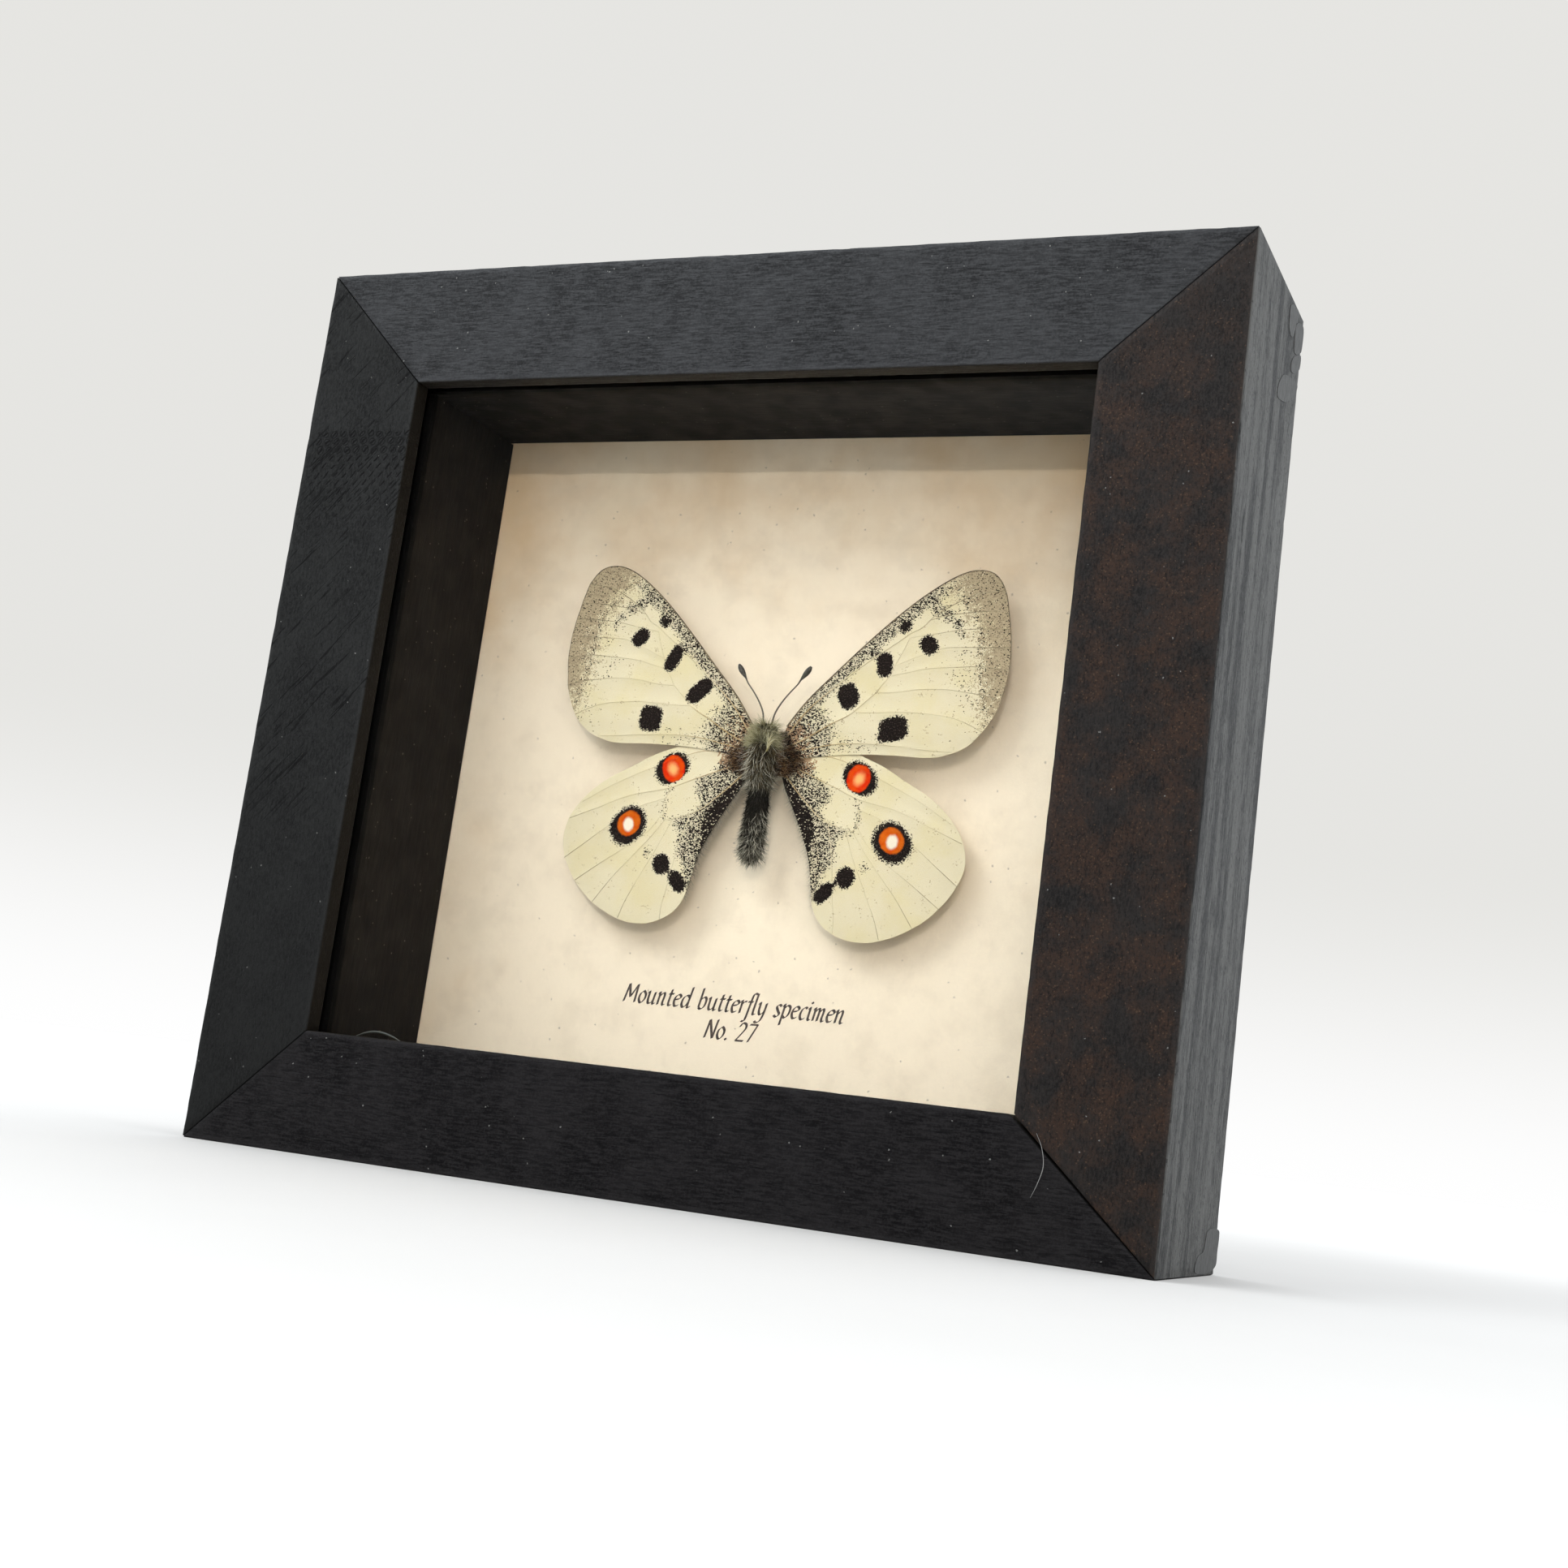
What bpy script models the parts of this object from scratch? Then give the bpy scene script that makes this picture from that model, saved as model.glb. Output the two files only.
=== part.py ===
"""Framed butterfly specimen: a mitred wooden box frame, glazed, with one spread butterfly fixed on its card.

The frame stands upright on its flat bottom edge. X runs to the right, Y to the back, Z up, and the
origin is at the middle of the bottom of the whole object. Lengths below are in millimetres.
"""

import math

import bmesh
import bpy
import numpy as np
from mathutils import Vector

MM = 0.001
CLEARANCE = 0.3

# Outside of the wooden frame, seen from the front
WIDTH = 165.0
HEIGHT = 151.0
RAIL_DEPTH = 34.2
RAIL_WIDTH = {"left": 21.2, "right": 22.4, "top": 20.4, "bottom": 19.6}
MITRE_BACK = 0.22
OPEN_MITRE = 0.6

# The rabbet behind the front lip, and how far the dark inside strips stand back from the lip's edge
LIP_THICKNESS = 3.2
RABBET_WIDTH = 5.5
STRIP_RECESS = 0.4

# Places along the depth, counted from the front face
GLASS_FRONT, GLASS_BACK = 3.5, 6.5
STRIP_FRONT, STRIP_BACK = 6.8, 31.9
CARD_FRONT, CARD_BACK = 32.2, 32.6
BOARD_FRONT, BOARD_BACK = 32.9, 34.2
TAPE_FRONT, TAPE_BACK = 34.5, 34.8
TAPE_WIDTH = 24.0
TAPE_INSET = 0.5

# Sawtooth hanger on the back of the top rail
HANGER_FRONT = 35.1
HANGER_THICKNESS = 0.8
HANGER_STEP, HANGER_BEND = 1.0, 1.5
HANGER_LENGTH, HANGER_HEIGHT = 44.0, 7.0
HANGER_RISE = 138.0
HANGER_TEETH = 12
TOOTH_WIDTH, TOOTH_HEIGHT = 2.0, 1.6
NAIL_OFFSET = 19.0
NAIL_SHANK, NAIL_HEAD = 0.7, 1.7
NAIL_CROWN, NAIL_CROWN_RISE = 1.36, 0.5
NAIL_SIDES = 16

TOTAL_DEPTH = HANGER_FRONT + HANGER_STEP + HANGER_THICKNESS

# The butterfly: its axis and its wing roots on the card, and the depths of its parts
AXIS_X, ROOT_Z = 1.3, 74.7
FOREWING_DEPTH, HINDWING_DEPTH = 26.9, 27.8
WING_THICKNESS = 0.3
CAMBER, CAMBER_REACH = 0.7, 42.0

# Wing outlines, outwards from the axis and up from the wing roots; a smooth curve runs through them
FOREWING = [
    (3.0, 1.2), (3.2, 4.0), (6.5, 8.5), (11.5, 13.8), (17.0, 19.5), (22.0, 24.3), (26.5, 28.0),
    (30.5, 30.5), (33.8, 31.4), (36.8, 30.7), (38.8, 28.0), (39.9, 24.0), (40.8, 19.0), (40.9, 14.0),
    (40.0, 9.0), (38.2, 5.2), (35.5, 2.2), (32.0, 0.5), (28.5, -0.1), (22.0, 0.0), (15.0, -0.2),
    (9.0, -0.8), (3.6, -1.2),
]
FOREWING_MIDDLE = (20.0, 9.0)
HINDWING = [
    (2.9, -2.2), (5.0, -0.4), (9.0, 0.9), (14.0, 0.8), (18.0, -0.6), (21.5, -2.0), (25.5, -4.2), (29.5, -6.3),
    (33.0, -9.0), (35.8, -12.4), (37.0, -16.0), (36.6, -19.2), (34.8, -22.6), (32.0, -25.8), (28.5, -28.3),
    (24.0, -30.2), (20.0, -30.7), (16.5, -30.0), (13.6, -28.3), (11.9, -25.8), (11.1, -22.5), (10.0, -17.8),
    (8.2, -13.8), (5.8, -9.4), (3.6, -5.6),
]
HINDWING_MIDDLE = (18.0, -14.0)
POINTS_PER_SPAN = 2
WING_RINGS = 4

# Antenna: outwards, up, radius
ANTENNA = [
    (0.7, 4.9, 0.16), (1.1, 6.1, 0.15), (1.95, 7.7, 0.14), (3.2, 9.4, 0.13), (4.5, 10.9, 0.13),
    (5.1, 11.8, 0.16), (5.5, 12.3, 0.32), (6.0, 13.0, 0.47), (6.4, 13.6, 0.42), (6.7, 14.1, 0.2),
]
ANTENNA_DEPTH = 26.0
ANTENNA_SIDES = 8

# Body: height above the wing roots, half width, half depth, depth of the axis from the front
BODY = [
    (-18.9, 0.35, 0.3, 27.6), (-18.5, 1.0, 0.9, 27.5), (-17.2, 1.65, 1.5, 27.3), (-15.4, 1.95, 1.8, 27.1),
    (-13.2, 1.95, 1.85, 26.9), (-11.0, 1.85, 1.8, 26.8), (-8.8, 1.75, 1.7, 26.6), (-7.0, 1.6, 1.6, 26.5),
    (-6.2, 1.7, 1.8, 26.4), (-5.2, 2.1, 2.4, 26.3), (-3.6, 2.4, 2.85, 26.2), (-1.6, 2.5, 3.0, 26.2),
    (0.2, 2.35, 2.8, 26.2), (1.4, 1.9, 2.1, 26.1), (2.0, 1.4, 1.5, 26.1), (2.6, 1.5, 1.4, 26.0),
    (3.4, 1.55, 1.35, 26.0), (4.1, 1.15, 1.0, 26.0), (4.5, 0.4, 0.4, 26.0),
]
BODY_SIDES = 16
EYE_RADIUS, EYE_OUT, EYE_UP, EYE_DEPTH = 0.85, 1.15, 3.1, 25.8

# Dab of glue between the thorax and the card
DAB_UP = -1.8
DAB = [(29.5, 1.3), (30.0, 1.9), (31.0, 2.3), (31.9, 2.6)]
DAB_SIDES = 16


def depth(value):
    """Y of a place that lies this far behind the front face."""
    return value - TOTAL_DEPTH / 2


def make_material(name, colour, roughness, metallic=0.0, transmission=0.0):
    material = bpy.data.materials.new(name)
    material.use_nodes = True
    shader = material.node_tree.nodes["Principled BSDF"]
    shader.inputs["Base Color"].default_value = (*colour, 1.0)
    shader.inputs["Roughness"].default_value = roughness
    shader.inputs["Metallic"].default_value = metallic
    shader.inputs["Transmission Weight"].default_value = transmission
    return material


def make_object(name, bm, material, smooth=False):
    """Turn a bmesh in millimetres into a named object in metres."""
    bmesh.ops.scale(bm, vec=(MM, MM, MM), verts=bm.verts)
    bmesh.ops.recalc_face_normals(bm, faces=bm.faces)
    mesh = bpy.data.meshes.new(name)
    bm.to_mesh(mesh)
    bm.free()
    obj = bpy.data.objects.new(name, mesh)
    bpy.context.collection.objects.link(obj)
    mesh.materials.append(material)
    if smooth:
        mesh.shade_smooth()
        mesh.set_sharp_from_angle(angle=math.radians(40))
    return obj


def loft(rings):
    """A closed body through rings of equal length, with a flat cap at each end."""
    bm = bmesh.new()
    rows = [[bm.verts.new(point) for point in ring] for ring in rings]
    sides = len(rows[0])
    for low, high in zip(rows, rows[1:]):
        for i in range(sides):
            j = (i + 1) % sides
            bm.faces.new((low[i], low[j], high[j], high[i]))
    bm.faces.new(rows[0])
    bm.faces.new(rows[-1])
    return bm


def box(name, x, y, z, material):
    """A plain block between two places on each axis."""
    rings = [
        [(x[0], y[0], up), (x[1], y[0], up), (x[1], y[1], up), (x[0], y[1], up)]
        for up in z
    ]
    return make_object(name, loft(rings), material)


def smooth_outline(points, per_span):
    """Points on a closed Catmull-Rom curve through the outline's own points."""
    count = len(points)
    corners = [np.array(point) for point in points]
    curve = []
    for i in range(count):
        before, start, end, after = (corners[(i + step) % count] for step in (-1, 0, 1, 2))
        for k in range(per_span):
            t = k / per_span
            curve.append(
                0.5 * (
                    2 * start + (end - before) * t
                    + (2 * before - 5 * start + 4 * end - after) * t**2
                    + (3 * start - before - 3 * end + after) * t**3
                )
            )
    return curve


def rail(side, material):
    """One mitred rail: an L-shaped profile, cut at both ends along the line to the inner corner."""
    width = RAIL_WIDTH[side]
    profile = [
        (0, 0), (width, 0), (width, LIP_THICKNESS), (width - RABBET_WIDTH, LIP_THICKNESS),
        (width - RABBET_WIDTH, RAIL_DEPTH), (0, RAIL_DEPTH),
    ]
    upright = side in ("left", "right")
    length = HEIGHT if upright else WIDTH
    start_side, end_side = ("bottom", "top") if upright else ("left", "right")

    def end_ring(at_end):
        neighbour = RAIL_WIDTH[end_side if at_end else start_side]
        opened = OPEN_MITRE if side == "bottom" and at_end else 0.0
        ring = []
        for inward, back in profile:
            cut = inward * neighbour / width + MITRE_BACK + opened * inward / width
            along = length - cut if at_end else cut
            if upright:
                x = -WIDTH / 2 + inward if side == "left" else WIDTH / 2 - inward
                ring.append((x, depth(back), along))
            else:
                z = HEIGHT - inward if side == "top" else inward
                ring.append((along - WIDTH / 2, depth(back), z))
        return ring

    return make_object(f"frame_{side}", loft([end_ring(False), end_ring(True)]), material)


def rabbet_edges(inset):
    """Left, right, bottom and top of a rectangle that stands this far inside the rabbet."""
    return (
        -WIDTH / 2 + RAIL_WIDTH["left"] - RABBET_WIDTH + inset,
        WIDTH / 2 - RAIL_WIDTH["right"] + RABBET_WIDTH - inset,
        RAIL_WIDTH["bottom"] - RABBET_WIDTH + inset,
        HEIGHT - RAIL_WIDTH["top"] + RABBET_WIDTH - inset,
    )


def frame_pieces(wood, glass, strip_paint, card, board, paper_tape):
    for side in ("top", "bottom", "left", "right"):
        rail(side, wood)
    left, right, bottom, top = rabbet_edges(CLEARANCE)
    box("glass", (left, right), (depth(GLASS_FRONT), depth(GLASS_BACK)), (bottom, top), glass)
    box("specimen_card", (left, right), (depth(CARD_FRONT), depth(CARD_BACK)), (bottom, top), card)
    box("backboard", (left, right), (depth(BOARD_FRONT), depth(BOARD_BACK)), (bottom, top), board)

    thick = RABBET_WIDTH - CLEARANCE - STRIP_RECESS
    between = (depth(STRIP_FRONT), depth(STRIP_BACK))
    low, high = bottom + thick + CLEARANCE, top - thick - CLEARANCE
    box("spacer_bottom", (left, right), between, (bottom, bottom + thick), strip_paint)
    box("spacer_top", (left, right), between, (top - thick, top), strip_paint)
    box("spacer_left", (left, left + thick), between, (low, high), strip_paint)
    box("spacer_right", (right - thick, right), between, (low, high), strip_paint)

    out = WIDTH / 2 - TAPE_INSET
    behind = (depth(TAPE_FRONT), depth(TAPE_BACK))
    low, high = TAPE_INSET + TAPE_WIDTH, HEIGHT - TAPE_INSET - TAPE_WIDTH
    box("tape_bottom", (-out, out), behind, (TAPE_INSET, low), paper_tape)
    box("tape_top", (-out, out), behind, (high, HEIGHT - TAPE_INSET), paper_tape)
    upright = (low + CLEARANCE, high - CLEARANCE)
    box("tape_left", (-out, TAPE_WIDTH - out), behind, upright, paper_tape)
    box("tape_right", (out - TAPE_WIDTH, out), behind, upright, paper_tape)


def hanger(steel):
    """A pressed strip that steps out from the rail, toothed along its lower edge, with a hole at each end."""
    half, teeth_half = HANGER_LENGTH / 2, HANGER_TEETH * TOOTH_WIDTH / 2
    raised = teeth_half + HANGER_BEND
    stations = [(-half, 0, 0), (-raised - HANGER_BEND, 0, 0), (-raised, HANGER_STEP, 0)]
    for tooth in range(HANGER_TEETH):
        start = tooth * TOOTH_WIDTH - teeth_half
        stations.append((start, HANGER_STEP, 0))
        stations.append((start + TOOTH_WIDTH / 2, HANGER_STEP, TOOTH_HEIGHT))
    stations += [(teeth_half, HANGER_STEP, 0), (raised, HANGER_STEP, 0)]
    stations += [(raised + HANGER_BEND, 0, 0), (half, 0, 0)]
    rings = []
    for x, step, notch in stations:
        front = depth(HANGER_FRONT + step)
        back = front + HANGER_THICKNESS
        low, high = HANGER_RISE + notch, HANGER_RISE + HANGER_HEIGHT
        rings.append([(x, front, low), (x, back, low), (x, back, high), (x, front, high)])
    plate = make_object("hanger", loft(rings), steel)
    for name, side in (("left", -1), ("right", 1)):
        centre = (side * NAIL_OFFSET, HANGER_RISE + HANGER_HEIGHT / 2)
        hole_radius = NAIL_SHANK + CLEARANCE
        through = [(HANGER_FRONT - HANGER_STEP, hole_radius), (HANGER_FRONT + 2 * HANGER_STEP, hole_radius)]
        hole = round_post(f"hole_{name}", centre, through, NAIL_SIDES, steel)
        hole.hide_render = True
        hole.display_type = "WIRE"
        cut = plate.modifiers.new(f"hole_{name}", "BOOLEAN")
        cut.operation = "DIFFERENCE"
        cut.object = hole
        face = HANGER_FRONT + HANGER_THICKNESS + CLEARANCE
        head = [(face, NAIL_HEAD), (face + NAIL_CROWN_RISE, NAIL_CROWN)]
        profile = [(HANGER_FRONT, NAIL_SHANK), (face, NAIL_SHANK), *head]
        round_post(f"hanger_nail_{name}", centre, profile, NAIL_SIDES, steel)


def round_post(name, centre, profile, sides, material):
    """A round piece whose axis runs along the depth: each step of the profile is (depth, radius)."""
    rings = []
    for back, radius in profile:
        rings.append([
            (
                centre[0] + radius * math.cos(2 * math.pi * k / sides),
                depth(back),
                centre[1] + radius * math.sin(2 * math.pi * k / sides),
            )
            for k in range(sides)
        ])
    return make_object(name, loft(rings), material, smooth=True)


def wing_height(out, up):
    """How far a wing bows towards the front at a place on it, highest halfway out."""
    reach = min(1.0, math.hypot(out, up) / CAMBER_REACH)
    return CAMBER * math.sin(math.pi * reach)


def wing(name, side, outline, middle, back, material):
    """A thin bowed sheet: rings shrink from the outline to the wing's middle, in front and behind."""
    curve = smooth_outline(outline, POINTS_PER_SPAN)
    centre = np.array(middle)

    def place(point, thickness):
        bow = wing_height(*point)
        return (AXIS_X + side * point[0], depth(back - bow) + thickness, ROOT_Z + point[1])

    bm = bmesh.new()
    sheets = []
    for thickness in (0.0, WING_THICKNESS):
        rows = []
        for ring in range(WING_RINGS):
            scale = 1 - ring / WING_RINGS
            rows.append([bm.verts.new(place(centre + (p - centre) * scale, thickness)) for p in curve])
        hub = bm.verts.new(place(centre, thickness))
        sheets.append(rows[0])
        for outer, inner in zip(rows, rows[1:]):
            for i in range(len(curve)):
                j = (i + 1) % len(curve)
                bm.faces.new((outer[i], outer[j], inner[j], inner[i]))
        for i in range(len(curve)):
            bm.faces.new((rows[-1][i], rows[-1][(i + 1) % len(curve)], hub))
    for i in range(len(curve)):
        j = (i + 1) % len(curve)
        bm.faces.new((sheets[0][i], sheets[0][j], sheets[1][j], sheets[1][i]))
    bmesh.ops.triangulate(bm, faces=bm.faces)
    make_object(name, bm, material, smooth=True)


def antenna(name, side, material):
    """A thin stalk that ends in a club, swept through its own points."""
    path = [Vector((AXIS_X + side * out, depth(ANTENNA_DEPTH), ROOT_Z + up)) for out, up, _ in ANTENNA]
    rings = []
    for i, (_, _, radius) in enumerate(ANTENNA):
        along = (path[min(i + 1, len(path) - 1)] - path[max(i - 1, 0)]).normalized()
        across = along.cross(Vector((0, 1, 0))).normalized()
        turns = [2 * math.pi * k / ANTENNA_SIDES for k in range(ANTENNA_SIDES)]
        spokes = [across * math.cos(turn) + Vector((0, math.sin(turn), 0)) for turn in turns]
        rings.append([path[i] + spoke * radius for spoke in spokes])
    make_object(name, loft(rings), material, smooth=True)


def body(material):
    """Abdomen, thorax and head as one lofted body, with the two eyes joined on."""
    rings = []
    for up, half_width, half_depth, back in BODY:
        rings.append([
            (
                AXIS_X + half_width * math.cos(2 * math.pi * k / BODY_SIDES),
                depth(back) + half_depth * math.sin(2 * math.pi * k / BODY_SIDES),
                ROOT_Z + up,
            )
            for k in range(BODY_SIDES)
        ])
    trunk = make_object("body", loft(rings), material, smooth=True)
    for name, side in (("left", -1), ("right", 1)):
        bm = bmesh.new()
        bmesh.ops.create_icosphere(bm, subdivisions=2, radius=EYE_RADIUS)
        centre = (AXIS_X + side * EYE_OUT, depth(EYE_DEPTH), ROOT_Z + EYE_UP)
        bmesh.ops.translate(bm, vec=centre, verts=bm.verts)
        eye = make_object(f"eye_{name}", bm, material)
        eye.hide_render = True
        eye.display_type = "WIRE"
        union = trunk.modifiers.new(f"eye_{name}", "BOOLEAN")
        union.operation = "UNION"
        union.object = eye


def butterfly(cream_wing, fur, horn, glue):
    body(fur)
    for name, side in (("left", -1), ("right", 1)):
        wing(f"forewing_{name}", side, FOREWING, FOREWING_MIDDLE, FOREWING_DEPTH, cream_wing)
        wing(f"hindwing_{name}", side, HINDWING, HINDWING_MIDDLE, HINDWING_DEPTH, cream_wing)
        antenna(f"antenna_{name}", side, horn)
    round_post("glue_dab", (AXIS_X, ROOT_Z + DAB_UP), DAB, DAB_SIDES, glue)


def main():
    for obj in list(bpy.data.objects):
        bpy.data.objects.remove(obj)
    frame_pieces(
        wood=make_material("black_stained_wood", (0.035, 0.034, 0.034), 0.62),
        glass=make_material("glass", (0.95, 0.98, 0.97), 0.02, transmission=1.0),
        strip_paint=make_material("black_strip", (0.018, 0.013, 0.01), 0.55),
        card=make_material("cream_card", (0.83, 0.77, 0.64), 0.9),
        board=make_material("grey_board", (0.33, 0.31, 0.28), 0.9),
        paper_tape=make_material("black_tape", (0.02, 0.02, 0.021), 0.7),
    )
    hanger(make_material("zinc_steel", (0.62, 0.62, 0.6), 0.35, metallic=1.0))
    butterfly(
        cream_wing=make_material("cream_wing", (0.78, 0.72, 0.5), 0.7),
        fur=make_material("dark_fur", (0.06, 0.055, 0.045), 0.9),
        horn=make_material("dark_horn", (0.06, 0.045, 0.035), 0.5),
        glue=make_material("clear_glue", (0.8, 0.76, 0.62), 0.3),
    )


main()
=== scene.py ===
# %% [markdown]
# # A spread butterfly in a black box frame
# The real thing is a small glazed box: four mitred rails of black-stained wood, a pane behind their lip,
# dark strips that hold the pane off a mottled cream card, and one pale butterfly fixed on that card with
# its wings spread. The CAD model already has every piece in its place, so this file only dresses it: finer
# meshes where the plain solid would show, and a node-built finish for every surface. All sizes are in
# millimetres and become metres last.

# %% Load the frame
import math

import bmesh
import bpy
import numpy as np
from mathutils import Matrix, Vector, noise
from mathutils.geometry import delaunay_2d_cdt


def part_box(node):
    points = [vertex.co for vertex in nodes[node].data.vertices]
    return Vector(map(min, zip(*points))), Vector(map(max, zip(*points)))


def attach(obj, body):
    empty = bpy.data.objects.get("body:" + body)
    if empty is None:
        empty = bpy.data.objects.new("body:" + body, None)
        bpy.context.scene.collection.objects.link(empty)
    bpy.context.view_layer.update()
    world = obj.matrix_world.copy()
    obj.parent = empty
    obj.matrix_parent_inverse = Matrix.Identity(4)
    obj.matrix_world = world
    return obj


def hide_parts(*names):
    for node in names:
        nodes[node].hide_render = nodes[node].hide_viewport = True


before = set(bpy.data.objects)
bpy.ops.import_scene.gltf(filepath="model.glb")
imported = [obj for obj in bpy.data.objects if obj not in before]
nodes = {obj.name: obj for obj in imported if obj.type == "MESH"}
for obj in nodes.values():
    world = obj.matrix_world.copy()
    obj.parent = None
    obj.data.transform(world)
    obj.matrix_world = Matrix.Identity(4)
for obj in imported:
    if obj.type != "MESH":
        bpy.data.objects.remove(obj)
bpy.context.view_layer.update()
MM = 0.001

# %% [markdown]
# The CAD puts every piece by its distance behind the frame's front face. The same few values are named
# here, and the boxes of the CAD nodes give the rest, so nothing has to be fitted by eye.

# %% Places taken over from the CAD
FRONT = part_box("frame_top")[0].y / MM
AXIS_X, ROOT_Z = 1.3, 74.7
FOREWING_DEPTH, HINDWING_DEPTH = 26.9, 27.8
CAMBER, REACH = 0.7, 42.0
RAIL_WIDTH = {"left": 21.2, "right": 22.4, "top": 20.4, "bottom": 19.6}
WIDTH, HEIGHT, RAIL_DEPTH = 165.0, 151.0, 34.2
LIP_THICKNESS, RABBET_WIDTH = 3.2, 5.5
CARD_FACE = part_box("specimen_card")[0].y / MM


def depth(behind):
    """Y of a place that lies this far behind the front face, in millimetres."""
    return FRONT + behind


print("front face", round(FRONT, 2), "card face", round(CARD_FACE, 2))

# %% [markdown]
# Finishes are built from shader nodes. A few small helpers keep that readable: one joins or sets a socket,
# one adds a node with its values, and the others make the Math nodes. They serve geometry nodes as well,
# because both kinds of tree take the same Math nodes.


# %% Helpers for node trees
def feed(tree, socket, value):
    """Join an output to a socket, or give the socket a plain value."""
    if isinstance(value, bpy.types.NodeSocket):
        tree.links.new(value, socket)
    else:
        socket.default_value = value


def add(tree, kind, settings=None, **values):
    """Add a node, set its options and feed its sockets by name; returns its first output in use."""
    node = tree.nodes.new(kind)
    for option, value in (settings or {}).items():
        setattr(node, option, value)
    for label, value in values.items():
        socket = next(s for s in node.inputs if s.enabled and s.name == label.replace("_", " "))
        feed(tree, socket, value)
    return next(s for s in node.outputs if s.enabled)


def calc(tree, operation, *values):
    node = tree.nodes.new("ShaderNodeMath")
    node.operation = operation
    for socket, value in zip(node.inputs, values):
        feed(tree, socket, value)
    return node.outputs[0]


def times(tree, first, second):
    return calc(tree, "MULTIPLY", first, second)


def vcalc(tree, operation, *values, output=0):
    node = tree.nodes.new("ShaderNodeVectorMath")
    node.operation = operation
    for socket, value in zip(node.inputs, values):
        feed(tree, socket, value)
    return node.outputs[output]


# %% Helpers for finishes
def fade(tree, value, start, end, low=0.0, high=1.0):
    """Ease from low to high while a value runs from start to end."""
    return add(tree, "ShaderNodeMapRange", {"interpolation_type": "SMOOTHSTEP"},
               Value=value, From_Min=start, From_Max=end, To_Min=low, To_Max=high)


def mixed(tree, factor, first, second, mode="MIX"):
    """Mix two colours; a plain colour is given as three numbers."""
    node = tree.nodes.new("ShaderNodeMix")
    node.data_type, node.blend_type = "RGBA", mode
    for socket, value in zip((node.inputs[0], node.inputs[6], node.inputs[7]), (factor, first, second)):
        feed(tree, socket, (*value, 1.0) if isinstance(value, tuple) else value)
    return node.outputs[2]


def place_mm(tree):
    """The point's own place on the object, in millimetres."""
    node = tree.nodes.new("ShaderNodeTexCoord")
    return vcalc(tree, "MULTIPLY", node.outputs["Object"], (1 / MM,) * 3)


def axes(tree, place):
    """A place's three numbers, each as a socket of its own."""
    node = tree.nodes.new("ShaderNodeSeparateXYZ")
    feed(tree, node.inputs[0], place)
    return node.outputs


def cloud(tree, place, size, detail=2.0, roughness=0.5, stretch=None):
    """Soft noise whose lumps are about this many millimetres across."""
    if stretch:
        place = vcalc(tree, "MULTIPLY", place, stretch)
    return add(tree, "ShaderNodeTexNoise", None, Vector=place, Scale=1 / size, Detail=detail,
               Roughness=roughness)


def attribute(tree, name):
    node = tree.nodes.new("ShaderNodeAttribute")
    node.attribute_name = name
    return node.outputs["Fac"]


def finish(name, **plain):
    """A new material; what is the same all over goes straight on the shader's own sockets."""
    material = bpy.data.materials.new(name)
    material.use_nodes = True
    shader = material.node_tree.nodes["Principled BSDF"]
    for label, value in plain.items():
        shader.inputs[label.replace("_", " ")].default_value = value
    return material, material.node_tree, shader


def tint(tree, shader, colour):
    feed(tree, shader.inputs["Base Color"], colour)


def relief(tree, shader, height, depth_mm):
    """Let a height that varies over the surface catch the light."""
    feed(tree, shader.inputs["Normal"], add(tree, "ShaderNodeBump", None, Height=height,
                                            Distance=depth_mm * MM))


# %% [markdown]
# Effects that several finishes share are node groups: built once, then placed with their own values. A
# group only puts out masks and heights that change over the surface, and the Principled shader stays in the
# material itself, so the finish survives an export.


# %% A helper for shared effects
def effect(name, inputs, outputs):
    """Start a shader node group; returns it with the sockets to read from and to fill."""
    tree = bpy.data.node_groups.new(name, "ShaderNodeTree")
    for label, kind, value in inputs:
        socket = tree.interface.new_socket(label, in_out="INPUT", socket_type="NodeSocket" + kind)
        socket.default_value = value
    for label, kind in outputs:
        tree.interface.new_socket(label, in_out="OUTPUT", socket_type="NodeSocket" + kind)
    return tree, tree.nodes.new("NodeGroupInput").outputs, tree.nodes.new("NodeGroupOutput").inputs


def use(tree, group, **values):
    """Place a shared effect in a finish; returns its outputs by name."""
    node = tree.nodes.new("ShaderNodeGroup")
    node.node_tree = group
    for label, value in values.items():
        feed(tree, node.inputs[label.replace("_", " ")], value)
    return node.outputs


# %% [markdown]
# Open-grained wood shows long streaks, finer threads within them, and short pores. All three are noise that
# is stretched along the board, so one group serves every rail and strip, with the grain turned by its
# Stretch input.

# %% Shared effect: wood grain
grain, taken, given = effect(
    "wood_grain",
    [("Place", "Vector", (0, 0, 0)), ("Stretch", "Vector", (0.05, 1, 1))],
    [("Streak", "Float"), ("Pore", "Float"), ("Height", "Float")],
)
along = vcalc(grain, "MULTIPLY", taken["Place"], taken["Stretch"])
streak = cloud(grain, along, 0.8, detail=4.0, roughness=0.6)
thread = cloud(grain, along, 0.22, detail=2.0)
short = vcalc(grain, "MULTIPLY", along, (3.0, 3.0, 3.0))
pore = fade(grain, cloud(grain, short, 0.9, detail=1.0), 0.6, 0.7)
feed(grain, given["Streak"], streak)
feed(grain, given["Pore"], pore)
threads = calc(grain, "MULTIPLY_ADD", thread, 0.55, times(grain, streak, 0.9))
feed(grain, given["Height"], calc(grain, "MULTIPLY_ADD", pore, -0.5, threads))

# %% [markdown]
# Dust, flecks in the stain, paper fibres and the single scales of a wing are all the same thing at
# different sizes: small cells of which a share is coloured. A Voronoi texture gives each cell a random
# number, and the cell counts where that number is below the wanted share.

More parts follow.
